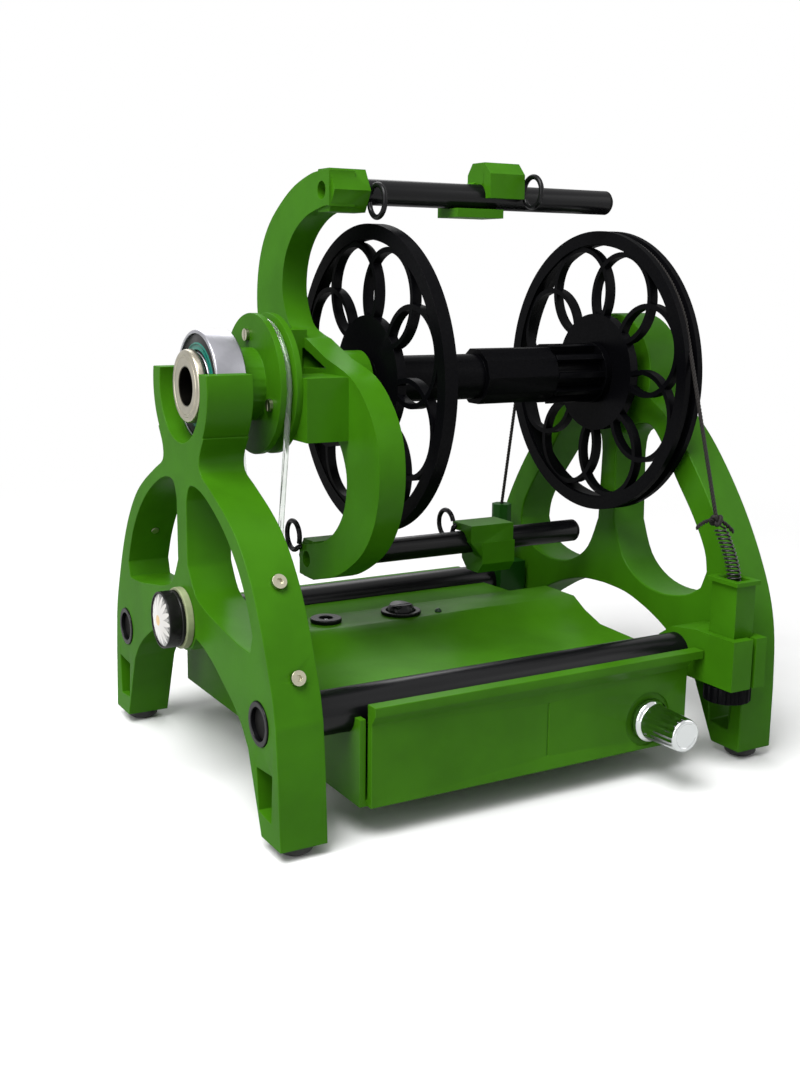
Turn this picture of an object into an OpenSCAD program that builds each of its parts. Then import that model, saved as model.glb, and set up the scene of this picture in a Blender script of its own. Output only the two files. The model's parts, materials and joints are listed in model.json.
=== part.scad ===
// Electric spinning wheel with a flyer, a lattice bobbin and a motor under an arched cover.
// X runs along the spindle (orifice at -X), -Y is the side with the speed knob, Z is up.

/* [Frame] */
// thickness of each end frame along the spindle
frame_t = 18; // [15:0.5:20]
// half of the stance, measured to the outside of the front feet
stance_half = 88; // [84:1:94]
// height of the rubber feet
foot_h = 4; // [3:0.5:6]
// diameter of the rubber feet
foot_d = 13; // [10:0.5:14]

/* [Rods] */
// outside diameter of the two long tubes
rod_d = 16; // [14:0.5:17]
// wall thickness of the two long tubes
rod_wall = 2; // [1:0.25:3]
// sideways distance of each long tube from the spindle axis
rod_y = 71; // [69:0.5:73]
// height of the long tubes above the table
rod_z = 45; // [43:0.5:48]

/* [Housing] */
// wall thickness of the motor housing
tray_wall = 2.4; // [1.6:0.2:3]
// height of the housing floor above the table
tray_z = 12; // [10:0.5:16]
// height of the ridge of the cover above the table
ridge_z = 56; // [54:0.5:60]
// half width of the flat top of the ridge
ridge_half = 10.5; // [9.5:0.5:13]

/* [Flyer] */
// sideways reach from the spindle axis to the axis of each flyer tube
arm_reach = 73; // [70:0.5:78]
// outside diameter of the flyer tubes
tube_d = 10; // [9:0.5:11]
// room between the turning flyer and the cover below it
sweep_gap = 19; // [14:1:24]
// thickness of the curved flyer plate
plate_t = 11; // [9:0.5:13]
// diameter of the drive whorl
whorl_d = 54; // [46:1:58]
// bore of the orifice
orifice_d = 14.5; // [10:0.5:16]
// diameter of the spindle shaft
shaft_d = 8; // [6:0.5:8]

/* [Bobbin] */
// diameter of the bobbin flanges
flange_d = 123; // [112:1:126]
// distance between the outer faces of the bobbin flanges
bobbin_len = 124; // [112:1:125]
// number of overlapping rings in each flange
ring_count = 8; // [6:1:9]
// outside diameter of the bobbin core
core_d = 19; // [16:0.5:22]

/* [Drive] */
// diameter of the motor can
motor_d = 34; // [28:1:35]
// running diameter of the motor pulley
pulley_d = 11; // [9:0.5:14]
// thickness of the clear drive band
band_d = 2.2; // [1.6:0.1:2.6]

/* [Controls] */
// diameter of the speed knob
knob_d = 14; // [12:0.5:16]
// how far the speed knob stands out from the panel
knob_len = 23; // [16:0.5:26]
// diameter of the round switch bezel
switch_d = 17; // [15:0.5:19]
// diameter of the thumb wheel on the brake
thumb_d = 19; // [14:0.5:20]

/* [Hidden] */

// colours
green = [0.26, 0.50, 0.12];
black = [0.06, 0.06, 0.07];
steel = [0.72, 0.73, 0.75];
// clearances: a glued or pressed seat, a seat between still pieces, a running fit
seat = 0.05;
gap = 0.3;
run = 0.08;
// smoothness of round pieces and of curved outlines
fine = 64;
steps = 4;

// pieces along the spindle, from the front face to the back
brg_r = 21;
brg_w = 12;
brg_inset = 7;
whorl_w = 9;
whorl_gap = 10.5;
ear_len = 17.5;
boss_r = 14;
boss_across = 16;
socket_len = 16.5;
bobbin_gap = 6.5;
rear_gap = 3;
head_len = brg_inset + brg_w + whorl_gap + whorl_w + ear_len + socket_len + bobbin_gap;
frame_len = head_len + bobbin_len + rear_gap + frame_t;
front_x = -frame_len / 2;
brg_x = front_x + brg_inset;
whorl_x = brg_x + brg_w + whorl_gap;
groove_x = whorl_x + whorl_w / 2;
plate_x = whorl_x + whorl_w + ear_len;
bob_x0 = plate_x + socket_len + bobbin_gap;
bob_x1 = bob_x0 + bobbin_len;
rear_x = bob_x1 + rear_gap;
rear_brg_r = 11;
rear_brg_w = 7;

// heights and the flyer's size; the flyer's sweep clears the cover
axis_h = ridge_z + sweep_gap + arm_reach + 7;
tube_r = tube_d / 2;
tube_y = -7;
tube_x = plate_x + 6;
tube_end = bob_x1 - 11.5;
tube_len = tube_end - tube_x;
flange_r = flange_d / 2;
front_fl_t = 5.5;
rear_fl_t = 9;
brake_x = bob_x1 - rear_fl_t / 2;

// the housing under the flyer, and what is fixed to it
rod_r = rod_d / 2;
tray_x = front_x + 33;
tray_len = frame_len - 76;
panel_y = -86;
motor_z = tray_z + tray_wall + 1.6 + motor_d / 2;
motor_len = 41;
recess_half = 16;
recess_x = tray_x + 10;
knob_x = tray_x + tray_len - 19.5;
knob_z = 24.5;
clamp_x = rear_x - 18.2;
clamp_len = 17.8;
clamp_z = 36.5;
clamp_top = 57;
post_x = brake_x - 2;
post_y = -93;
post_top = 80;
cord_r = 0.8;

// the origin is on the table under the middle of the whole object
mid_x = (9.5 - 0.6) / 2;
mid_y = (knob_len - panel_y - 0.6 - stance_half - 4) / 2;
module placed()
    translate([mid_x, mid_y, 0])
        children();

// helpers; the frames' outlines are drawn for this half stance and axis height
drawn_half = 88;
drawn_h = 155;
function cr(a, b, c, d, t) =
    0.5 * (2 * b + (c - a) * t + (2 * a - 5 * b + 4 * c - d) * t * t
    + (3 * b - a - 3 * c + d) * t * t * t);
function curve(p, n = steps) = concat(
    [for (i = [0:len(p) - 2]) for (k = [0:n - 1])
        cr(p[max(i - 1, 0)], p[i], p[i + 1], p[min(i + 2, len(p) - 1)], k / n)],
    [p[len(p) - 1]]);
function flip(p) = [for (i = [len(p) - 1:-1:0]) [-p[i][0], p[i][1]]];
function fit(p) = [for (q = p) [q[0] * stance_half / drawn_half, q[1] * axis_h / drawn_h]];

module along_x(x0, length)
    translate([x0, 0, 0])
        rotate([90, 0, 90])
            linear_extrude(length)
                children();

module rod_x(x0, length, r, y = 0, z = axis_h)
    translate([x0, y, z])
        rotate([0, 90, 0])
            cylinder(h = length, r = r, $fn = fine);

module rod_y_axis(y0, length, r, x, z)
    translate([x, y0, z])
        rotate([-90, 0, 0])
            cylinder(h = length, r = r, $fn = fine);

module both_sides() {
    children();
    mirror([0, 1, 0])
        children();
}

// a tube swept along points; closed loops join their ends
function unit(v) = v / norm(v);
function dir_at(p, i, closed) = let (n = len(p),
    a = closed ? p[(i + n - 1) % n] : p[max(i - 1, 0)],
    b = closed ? p[(i + 1) % n] : p[min(i + 1, n - 1)]) unit(b - a);
module tube_path(p, r, sides = 8, closed = false, side_dir = [1, 0, 0]) {
    n = len(p);
    ring = [for (i = [0:n - 1]) let (d = dir_at(p, i, closed),
        u = unit(cross(d, side_dir)), v = cross(d, u))
        for (k = [0:sides - 1]) p[i] + r * (cos(360 * k / sides) * u + sin(360 * k / sides) * v)];
    last = closed ? n - 1 : n - 2;
    skin = [for (i = [0:last]) for (k = [0:sides - 1])
        [i * sides + k, i * sides + (k + 1) % sides,
        ((i + 1) % n) * sides + (k + 1) % sides, ((i + 1) % n) * sides + k]];
    tri = [for (f = skin) each [[f[0], f[2], f[1]], [f[0], f[3], f[2]]]];
    ends = closed ? [] : [[for (k = [0:sides - 1]) k],
        [for (k = [sides - 1:-1:0]) (n - 1) * sides + k]];
    polyhedron(points = ring, faces = concat(tri, ends), convexity = 8);
}

// end frames
front_outer = fit([[24, 138], [19.5, 131], [20, 125], [29, 120.5], [43, 113.5], [54, 106],
    [64, 95], [72, 82], [79, 66], [84, 51], [86.5, 30]]);
front_under = fit([[61, 33], [55, 40], [47, 46], [38, 51], [28, 56], [15, 60], [0, 61]]);
front_window_arc = fit([[5.2, 112], [9, 118.5], [20, 118], [33, 112.5], [44, 105.5],
    [54, 96], [61, 86], [66, 75]]);
front_window_sill = fit([[64, 68.5], [52, 69], [36, 71.5], [22, 74], [12, 78], [5.2, 88]]);
rear_outer = fit([[22, 148], [34, 141], [47, 130], [60, 115], [72, 98], [82, 80],
    [88, 65], [91, 50], [92, 30]]);
rear_under = fit([[62, 32], [56, 38], [48, 43], [39, 48], [28, 52.5], [15, 56], [0, 57]]);
rear_window_arc = fit([[5, 118], [8, 128], [24, 134], [33, 129], [45, 113], [57, 98],
    [65, 85], [67, 76]]);
rear_window_sill = fit([[64, 68.5], [55, 63.5], [40, 61], [25, 63.5], [13, 72], [6, 87]]);

function half(outer, under, foot_out, foot_in) = concat(curve(outer),
    [[foot_out, foot_h], [foot_in, foot_h]], curve(under));

// an end frame before its hub, and what is cut from it
module frame_blank(x0, outer, under, foot_out, foot_in) {
    side = half(outer, under, foot_out, foot_in);
    along_x(x0, frame_t)
        polygon(concat(side, flip(side)));
    for (s = [-1, 1])
        rod_x(x0, frame_t, rod_r + 6, s * rod_y, rod_z);
}

module frame_cuts(x0, arc, sill, foot_out, foot_in) {
    along_x(x0 - 1, frame_t + 2)
        for (s = [0, 1])
            mirror([s, 0]) {
                polygon(concat(curve(arc), curve(sill)));
                polygon([[foot_in - 2, foot_h + 9], [foot_out - 7.5, foot_h + 8],
                    [foot_out - 6.5, rod_z - rod_r - 7.5], [foot_in - 3.5, rod_z - rod_r - 8.5]]);
            }
    for (s = [-1, 1])
        rod_x(x0 - 1, frame_t + 2, rod_r + seat, s * rod_y, rod_z);
}

module front_frame() placed() color(green)
    difference() {
        union() {
            frame_blank(front_x, front_outer, front_under, stance_half, stance_half - 16);
            rod_x(front_x, frame_t, brg_r + 7.5);
            rod_x(front_x, frame_t, 13, 0, badge_z);
        }
        frame_cuts(front_x, front_window_arc, front_window_sill, stance_half, stance_half - 16);
        rod_x(front_x - 1, frame_t + 2, brg_r + seat);
        translate([front_x - 1, -40, axis_h + 6])
            cube([frame_t + 2, 80, 40]);
        rod_x(front_x - 1, 4, 2.6, 0, badge_z);
        leg_screw_places()
            translate([0, 0, -9])
                cylinder(h = 12, r = 1.6 + seat, $fn = 32);
    }

module rear_frame() placed() color(green)
    difference() {
        union() {
            frame_blank(rear_x, rear_outer, rear_under, stance_half + 4, stance_half - 12);
            rod_x(rear_x, frame_t, 26);
        }
        frame_cuts(rear_x, rear_window_arc, rear_window_sill, stance_half + 4, stance_half - 12);
        rod_x(rear_x - 1, rear_brg_w + 1.3, rear_brg_r + seat);
        rod_x(rear_x + 1, frame_t + 1, 8);
    }

badge_z = 66 * axis_h / drawn_h;

// the two small screws on the outside of each front leg
screw_spots = [[65.5, 92.5, 32], [80.2, 62.5, 18]];
module leg_screw_places()
    both_sides()
        for (s = screw_spots)
            translate([front_x + frame_t / 2 + 1, s[0] * stance_half / drawn_half, s[1] * axis_h / drawn_h])
                rotate([s[2] - 90, 0, 0])
                    children();

module leg_screws() placed() color(steel)
    leg_screw_places()
        difference() {
            union() {
                translate([0, 0, -7.5])
                    cylinder(h = 8.5, r = 1.6, $fn = 32);
                translate([0, 0, 0.6])
                    cylinder(h = 1.6, r = 2.7, $fn = 32);
            }
            translate([0, 0, 1.2])
                cylinder(h = 2, r = 1.2, $fn = 6);
        }

module long_tube(y)
    color(black)
        difference() {
            rod_x(front_x - 0.6, frame_len + 1.2, rod_r, y, rod_z);
            rod_x(front_x - 2, frame_len + 4, rod_r - rod_wall, y, rod_z);
        }

module near_rod() placed() long_tube(-rod_y);

module far_rod() placed() long_tube(rod_y);

module rod_plugs() placed() color([0.12, 0.12, 0.13])
    both_sides()
        for (x = [front_x + 1, -front_x - 9])
            rod_x(x, 8, rod_r - rod_wall - seat, rod_y, rod_z);

module rubber_feet() placed() color(black)
    both_sides()
        for (p = [[front_x + frame_t / 2, stance_half - 8], [rear_x + frame_t / 2, stance_half - 4]])
            translate([p[0], p[1], 0])
                rotate_extrude($fn = fine)
                    polygon([[0, 0], [foot_d / 2 - 2, 0], [foot_d / 2, 1.4],
                        [foot_d / 2, foot_h], [0, foot_h]]);

// motor housing
tray_top = rod_z - 0.5;
tray_far = -panel_y;
tray_near = panel_y + 3;

module housing_tray() placed() color(green) {
    tray_z1 = tray_z + tray_wall;
    difference() {
        union() {
            translate([tray_x, tray_near, tray_z])
                cube([tray_len, tray_far - tray_near, tray_wall]);
            for (x = [tray_x, tray_x + tray_len - tray_wall])
                translate([x, tray_near, tray_z])
                    cube([tray_wall, tray_far - tray_near, tray_top - tray_z]);
            translate([tray_x, tray_far - tray_wall, tray_z])
                cube([tray_len, tray_wall, 38]);
            translate([tray_x, -recess_half - tray_wall, tray_z])
                cube([recess_x - tray_x + tray_wall, 2 * (recess_half + tray_wall), tray_top - tray_z]);
            for (x = [6, 52])
                for (y = [6, 38])
                    translate([board_x + x, board_y + y, tray_z1 - 1])
                        cylinder(h = 6, r = 3, $fn = 32);
        }
        translate([tray_x - 1, -recess_half, tray_z1])
            cube([recess_x - tray_x + 1, 2 * recess_half, 60]);
        for (s = [-1, 1])
            rod_x(tray_x - 1, tray_len + 2, rod_r + seat, s * rod_y, rod_z);
        rod_x(recess_x - 1, tray_wall + 2, 5.2, 0, motor_z);
        motor_screw_places()
            rod_x(recess_x - 1, tray_wall + 2, 1.6, 0, 0);
    }
}

function cover_line(d) = [[rod_y - rod_r - 0.5 - d, rod_z - 0.4], [rod_y - rod_r - 0.5 - d, rod_z + 1.4 - d],
    [30, ridge_z - 8.5 - d], [18.7, ridge_z - 4.5 - d], [ridge_half, ridge_z - d]];

module cover_profile(d)
    polygon(concat(cover_line(d), flip(cover_line(d))));

module housing_cover() placed() color([0.30, 0.54, 0.14])
    difference() {
        along_x(tray_x, tray_len)
            cover_profile(0);
        translate([0, 0, -0.01])
            along_x(tray_x + tray_wall, tray_len - 2 * tray_wall)
                cover_profile(tray_wall);
        translate([tray_x - 1, -recess_half, tray_z])
            cube([recess_x - tray_x + 1, 2 * recess_half, 60]);
        translate([switch_x, switch_y, ridge_z - 6])
            cylinder(h = 8, r = switch_d / 2 - 1.5, $fn = fine);
        translate([jack_x, jack_y, ridge_z - 6])
            cylinder(h = 8, r = jack_r - 1.6, $fn = fine);
        translate([led_x, led_y, ridge_z - 12])
            cylinder(h = 14, r = 1.55, $fn = 32);
    }

switch_x = recess_x + tray_wall + motor_len + 10.1;
switch_y = -1;
jack_x = tray_x + 29;
jack_y = 1;
jack_r = 6.5;
led_x = switch_x + 15.5;
board_x = switch_x + 11.5;
board_y = 14;
led_y = -6;

// panel with a flared lip, a hairline seam and a round recess for the knob
module control_panel() placed() color([0.30, 0.54, 0.14]) {
    panel_x = tray_x + 3;
    panel_len = tray_len - 3;
    lip_top = tray_z + 38;
    difference() {
        union() {
            along_x(panel_x, panel_len)
                polygon([[panel_y + 3, tray_z], [panel_y, tray_z], [panel_y, lip_top - 7],
                    [panel_y - 2.5, lip_top - 3.5], [panel_y - 2.5, lip_top], [panel_y + 3, lip_top]]);
            along_x(panel_x + panel_len - 1, 7)
                polygon([[panel_y + 3, lip_top - 2.5], [panel_y - 2.5, lip_top - 3.5],
                    [panel_y - 2.5, lip_top], [panel_y + 3, lip_top]]);
        }
        translate([0, panel_y - 1, tray_z + 6])
            cube([0.7, 1.6, 21]);
        rod_y_axis(panel_y - 1, 2, 11, knob_x, knob_z);
        rod_y_axis(panel_y - 1, 6, 3.6, knob_x, knob_z);
    }
}

module indicator_led() placed() color([0.10, 0.16, 0.08]) {
    translate([led_x, led_y, ridge_z - 5])
        cylinder(h = 5, r = 1.5, $fn = 32);
    translate([led_x, led_y, ridge_z])
        intersection() {
            sphere(r = 1.5, $fn = 32);
            cylinder(h = 2, r = 2, $fn = 32);
        }
}

module circuit_board() placed() color([0.08, 0.30, 0.16])
    translate([board_x, board_y, tray_z + tray_wall + 5.05]) {
        cube([58, 44, 1.6]);
        translate([6, 6, 1.6])
            cube([14, 10, 9]);
        translate([30, 22, 1.6])
            cube([10, 12, 3]);
        for (x = [28, 42])
            translate([x, 9, 1.6])
                cylinder(h = 11, r = 4, $fn = 32);
        translate([48, 26, 1.6])
            cube([8, 14, 8]);
    }

// speed control
module potentiometer() placed() color([0.55, 0.56, 0.58])
    difference() {
        union() {
            rod_y_axis(panel_y + 3.05, 9, 8, knob_x, knob_z);
            rod_y_axis(panel_y + 1.2, 3, 3.5, knob_x, knob_z);
            translate([knob_x - 6, panel_y + 5, knob_z - 9.8])
                cube([12, 1.6, 6]);
        }
        rod_y_axis(panel_y - 1, 9.5, 3 + run, knob_x, knob_z);
    }

module pot_shaft() placed() color(steel)
    rod_y_axis(panel_y - 13, 21, 3, knob_x, knob_z);

module speed_knob() placed() color([0.85, 0.86, 0.88]) {
    r = knob_d / 2;
    back = 0.2;
    translate([knob_x, panel_y + 0.6, knob_z])
        rotate([90, 0, 0])
            difference() {
                rotate_extrude($fn = fine)
                    polygon([[0, back], [r + 1.6, back], [r + 1.9, back + 1], [r + 1.5, back + 3.4],
                        [r + 0.2, back + 4.6], [r - 0.4, knob_len - 1], [r - 1.2, knob_len], [0, knob_len]]);
                translate([0, 0, -1])
                    cylinder(h = 15, r = 3 + seat, $fn = 32);
                for (k = [0:11])
                    rotate(30 * k)
                        translate([r + 1.1, 0, 6])
                            cylinder(h = knob_len - 9, r = 1.5, $fn = 16);
            }
}

// power inlet
module dc_jack() placed() color(black)
    translate([jack_x, jack_y, ridge_z]) {
        difference() {
            union() {
                cylinder(h = 2, r = jack_r, $fn = fine);
                translate([0, 0, -5])
                    cylinder(h = 5.5, r = jack_r - 1.65, $fn = fine);
            }
            translate([0, 0, -3.9])
                cylinder(h = 8, r = 2.75, $fn = 32);
        }
    }

module jack_pin() placed() color(steel)
    translate([jack_x, jack_y, ridge_z - 3.9])
        cylinder(h = 4.9, r = 1.05, $fn = 32);

// direction switch
module switch_bezel() placed() color(black)
    translate([switch_x, switch_y, ridge_z])
        difference() {
            union() {
                cylinder(h = 1.6, r = switch_d / 2, $fn = fine);
                translate([0, 0, -12])
                    cylinder(h = 12.5, r = switch_d / 2 - 1.55, $fn = fine);
            }
            translate([0, 0, -6.5])
                cylinder(h = 10, r = switch_d / 2 - 2.2, $fn = fine);
        }

module switch_rocker() placed() color([0.03, 0.03, 0.03])
    translate([switch_x, switch_y, ridge_z + 0.4])
        difference() {
            sphere(r = switch_d / 2 - 2.6, $fn = fine);
            for (s = [-1, 1])
                rotate([10 * s, 0, 0])
                    translate([-10, s > 0 ? 0 : -20, 3.2])
                        cube([20, 20, 10]);
            translate([-10, -10, -14])
                cube([20, 20, 10]);
        }

// motor and drive
module motor_screw_places()
    for (s = [-1, 1])
        translate([0, s * 10, motor_z])
            children();

module motor_body() placed() color([0.62, 0.63, 0.65])
    difference() {
        union() {
            rod_x(recess_x + tray_wall + seat, motor_len, motor_d / 2, 0, motor_z);
            rod_x(recess_x + 0.4, 3, 5, 0, motor_z);
            rod_x(recess_x + tray_wall + motor_len, 4, 5, 0, motor_z);
        }
        rod_x(recess_x - 1, 20, 1.5 + run, 0, motor_z);
        motor_screw_places()
            rod_x(recess_x, 9, 1.5 + seat, 0, 0);
    }

module motor_screws() placed() color(steel)
    motor_screw_places() {
        rod_x(recess_x - 0.1, 7, 1.5, 0, 0);
        difference() {
            rod_x(recess_x - 1.8, 1.75, 2.7, 0, 0);
            translate([recess_x - 2, -0.4, -3])
                cube([0.9, 0.8, 6]);
        }
    }

module motor_shaft() placed() color(steel)
    rod_x(groove_x - 5, recess_x - groove_x + 22, 1.5, 0, motor_z);

band_r = band_d / 2;
module grooved(x_mid, width, rim_r, run_r, z) {
    floor_r = run_r - band_r - seat;
    translate([x_mid, 0, z])
        rotate([0, 90, 0])
            rotate_extrude($fn = fine)
                polygon([[0, -width / 2], [rim_r, -width / 2], [rim_r, -band_r - 1],
                    [floor_r, -band_r - seat], [floor_r, band_r + seat], [rim_r, band_r + 1],
                    [rim_r, width / 2], [0, width / 2]]);
}

module motor_pulley() placed() color([0.20, 0.42, 0.10])
    difference() {
        grooved(groove_x, 9, pulley_d / 2 + 2.2, pulley_d / 2, motor_z);
        rod_x(groove_x - 6, 12, 1.5 + seat, 0, motor_z);
    }

run_r = whorl_d / 2 - 2.5;
band_h = axis_h - motor_z;
band_lean = asin((run_r - pulley_d / 2) / band_h);
module drive_band() placed() color([0.85, 0.90, 0.88, 0.6])
    tube_path(concat(
        [for (k = [0:28]) let (a = -band_lean + (180 + 2 * band_lean) * k / 28)
            [groove_x, run_r * cos(a), axis_h + run_r * sin(a)]],
        [for (k = [0:10]) let (a = 180 + band_lean + (180 - 2 * band_lean) * k / 10)
            [groove_x, pulley_d / 2 * cos(a), motor_z + pulley_d / 2 * sin(a)]]),
        band_r, 8, true);

// bearings
module ring_x(x0, length, r_out, r_in)
    difference() {
        rod_x(x0, length, r_out);
        rod_x(x0 - 1, length + 2, r_in);
    }

module front_bearing_outer() placed() color(steel)
    ring_x(brg_x, brg_w, brg_r, brg_r - 3.6);

module front_bearing_seal() placed() color([0.05, 0.32, 0.27])
    ring_x(brg_x + 0.5, 1.4, brg_r - 3.6 - seat, 13.2);

module front_bearing_inner() placed() color(steel)
    ring_x(brg_x, brg_w, 12.8, 10);

module rear_bearing_outer() placed() color(steel)
    ring_x(rear_x + 0.2, rear_brg_w, rear_brg_r, rear_brg_r - 2);

module rear_bearing_inner() placed() color(steel)
    ring_x(rear_x + 0.2, rear_brg_w, shaft_d / 2 + 2, shaft_d / 2 + seat);

// flyer
module orifice_bushing() placed() color([0.78, 0.76, 0.66])
    difference() {
        union() {
            translate([brg_x - 4.6, 0, axis_h])
                rotate([0, 90, 0])
                    rotate_extrude($fn = fine)
                        polygon([[0, 0], [13, 0], [14, 0.8], [14, 3.4], [11.5, 4.4], [0, 4.4]]);
            rod_x(brg_x - 1, brg_w + 9, 10 - seat);
        }
        rod_x(brg_x - 6, brg_w + 20, orifice_d / 2);
    }

module whorl() placed() color(green)
    difference() {
        union() {
            grooved(groove_x, whorl_w, whorl_d / 2, run_r, axis_h);
            rod_x(brg_x + brg_w + 0.5, whorl_x - brg_x - brg_w + 1, boss_r);
        }
        rod_x(brg_x + brg_w - 1, 9, 10 + seat);
        rod_x(brg_x + brg_w - 1, whorl_x + whorl_w - brg_x - brg_w + 2, orifice_d / 2);
        whorl_screw_places()
            rod_x(whorl_x - 1, whorl_w + 2, 1.25, 0, 0);
    }

module whorl_screw_places()
    for (k = [0:2])
        translate([0, 19 * cos(120 * k + 200), axis_h + 19 * sin(120 * k + 200)])
            children();

module whorl_screws() placed() color(steel)
    whorl_screw_places() {
        rod_x(whorl_x - 0.2, whorl_w - 1, 1.2, 0, 0);
        difference() {
            rod_x(whorl_x - 1.4, 1.35, 2.3, 0, 0);
            translate([whorl_x - 1.6, -0.3, -2])
                cube([0.7, 0.6, 4]);
        }
    }

// S-shaped plate: one arm, turned half round for the other
arm_outer = [[11, -9.8], [31, -4.1], [43.5, 4.8], [51.3, 15.5], [54.2, 28], [53.2, 41],
    [48.7, 52.4], [40.8, 62], [29, 70], [16.6, 75.8], [2.8, 79.4], [-6, 80.2], [-13.5, 80.2]];
arm_inner = [[-13.5, 67], [-8.4, 67], [4.8, 64.3], [13.7, 60.4], [20.5, 55.3], [25.6, 48.7],
    [28.2, 41], [28.2, 33], [24.6, 25], [20.3, 20.6], [13, 18], [6, 16.4]];
module s_shape() {
    arm = concat(curve(arm_outer), curve(arm_inner));
    scale([arm_reach / 73, arm_reach / 73])
        polygon(concat(arm, [for (q = arm) -q]));
}

// wire eyes stand beside the tubes; each stem is this far from its tube's axis
eye_r = 6;
wire_r = 0.9;
stem_off = tube_r + 1.5;
upper_eye_turn = -72;
lower_eye_turn = -47;
clip_eye_turn = -100;
module beside_tube(turn)
    translate([0, tube_y, arm_reach])
        rotate([turn, 0, 0])
            translate([0, 0, -stem_off])
                children();

module flyer_plate() placed() color(green) {
    difference() {
        union() {
            translate([0, 0, axis_h]) {
                along_x(plate_x, plate_t)
                    s_shape();
                along_x(plate_x + plate_t - 1, bob_x0 - 2.5 - plate_x - plate_t + 1)
                    circle(r = 12, $fn = fine);
            }
            for (s = [-1, 1])
                turned(s) {
                    // six-sided boss around the tube
                    translate([plate_x + 1, tube_y, arm_reach])
                        rotate([0, 90, 0])
                            rotate(90)
                                cylinder(h = socket_len - 1, r = boss_across / sqrt(3), $fn = 6);
                    // ear that joins the plate to the back of the whorl
                    translate([whorl_x + whorl_w + seat, 8, -4])
                        cube([ear_len + 1, 22, 24]);
                }
        }
        rod_x(plate_x + plate_t - 4, 22, shaft_d / 2 + seat);
        for (s = [-1, 1])
            turned(s) {
                rod_x(tube_x, socket_len, tube_r + seat, tube_y, arm_reach);
                rod_x(plate_x - 1, 20, 3.4, tube_y, arm_reach);
                // slanted see-through pocket in the hub, one on each side
                along_x(plate_x - 1, plate_t + 2)
                    polygon([[14, 15], [9, 5], [-11, 6]]);
            }
        turned(1)
            beside_tube(upper_eye_turn)
                rod_x(plate_x + socket_len - 4, 5, wire_r + seat, 0, 0);
        turned(-1)
            beside_tube(lower_eye_turn)
                rod_x(plate_x - 1, 5.5, wire_r + seat, 0, 0);
    }
}

module spindle_shaft() placed() color(steel)
    rod_x(plate_x + plate_t - 4 + seat, rear_x + 13 - plate_x - plate_t, shaft_d / 2);

module flyer_tube(s)
    color(black)
        difference() {
            rod_x(tube_x + seat, tube_len, tube_r, s * tube_y, axis_h + s * arm_reach);
            rod_x(tube_x - 1, tube_len + 3, tube_r - 1.2, s * tube_y, axis_h + s * arm_reach);
        }

module upper_tube() placed() flyer_tube(1);

module lower_tube() placed() flyer_tube(-1);

module tube_caps() placed() color([0.10, 0.10, 0.11])
    for (s = [-1, 1])
        translate([tube_x + tube_len + 2 * seat, s * tube_y, axis_h + s * arm_reach])
            rotate([0, 90, 0]) {
                rotate_extrude($fn = fine)
                    polygon([[0, 0], [tube_r, 0], [tube_r, 0.8], [tube_r - 1.4, 2.2], [0, 2.2]]);
                translate([0, 0, -8])
                    cylinder(h = 8.5, r = tube_r - 1.2 - seat, $fn = 32);
            }

// a wire eye: its loop hangs below its stem, which runs into the holder
module eye(x_stem, x_loop)
    tube_path(concat([[x_stem, 0, 0], [x_stem + 0.4 * (x_loop - x_stem), 0, 0]],
        [for (k = [0:22]) let (a = 180 + 330 * k / 22)
            [x_loop, eye_r * sin(a), -eye_r * cos(a) - eye_r]]),
        wire_r, 8, false, [0.3, 0.9, 0.1]);

module turned(s)
    translate([0, 0, axis_h])
        rotate([s > 0 ? 0 : 180, 0, 0])
            children();

// one eye behind the upper boss, the other in front of the lower end of the plate
module fixed_hooks() placed() color([0.25, 0.25, 0.26]) {
    turned(1)
        beside_tube(upper_eye_turn)
            eye(plate_x + socket_len - 3, plate_x + socket_len + 1.2);
    turned(-1)
        beside_tube(lower_eye_turn)
            eye(plate_x + 3.5, plate_x - 1.5);
}

// sliding clips: a block on one side of the tube, a lip on the other and a back between them
clip_len = 16.8;
lip_len = 22;
lip_stem = [-4.5, -6.7];
module clip(x0, reach)
    translate([0, tube_y, arm_reach])
        difference() {
            union() {
                along_x(x0 + reach, clip_len)
                    polygon([[-8.4, -0.6], [-8.4, 9], [-4, 13.5], [5, 13.5], [8.5, 9],
                        [8.5, -0.6]]);
                difference() {
                    translate([x0, 8.3, 0])
                        rotate([90, 0, 0])
                            linear_extrude(15.3)
                                polygon([[0, -8.4], [lip_len, -8.4], [lip_len, 6],
                                    [reach, 6], [0, -1]]);
                    translate([x0 - 1, -10, -4.9])
                        cube([lip_len + 2, 12, 20]);
                }
            }
            rod_x(x0 - 20, lip_len + clip_len + 40, tube_r + run, 0, 0);
            children();
        }

upper_reach = 14.3;
lower_reach = 6;
upper_clip_x = bob_x0 + 33.9;
lower_clip_x = bob_x0 + 52.2;
upper_clip_end = upper_clip_x + upper_reach + clip_len;
module upper_clip() placed() color(green)
    turned(1)
        clip(upper_clip_x, upper_reach)
            rotate([clip_eye_turn, 0, 0])
                rod_x(upper_clip_end - 5, 6, wire_r + seat, 0, -stem_off);

module upper_clip_hook() placed() color([0.25, 0.25, 0.26])
    turned(1)
        beside_tube(clip_eye_turn)
            eye(upper_clip_end - 4.5, upper_clip_end + 1.2);

module lower_clip() placed() color(green)
    turned(-1)
        clip(lower_clip_x, lower_reach)
            rod_x(lower_clip_x - 1, 6, wire_r + seat, lip_stem[0], lip_stem[1]);

module lower_clip_hook() placed() color([0.25, 0.25, 0.26])
    turned(-1)
        translate([0, tube_y + lip_stem[0], arm_reach + lip_stem[1]])
            rotate([-90, 0, 0])
                eye(lower_clip_x + 4.5, lower_clip_x - 1.2);

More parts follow.
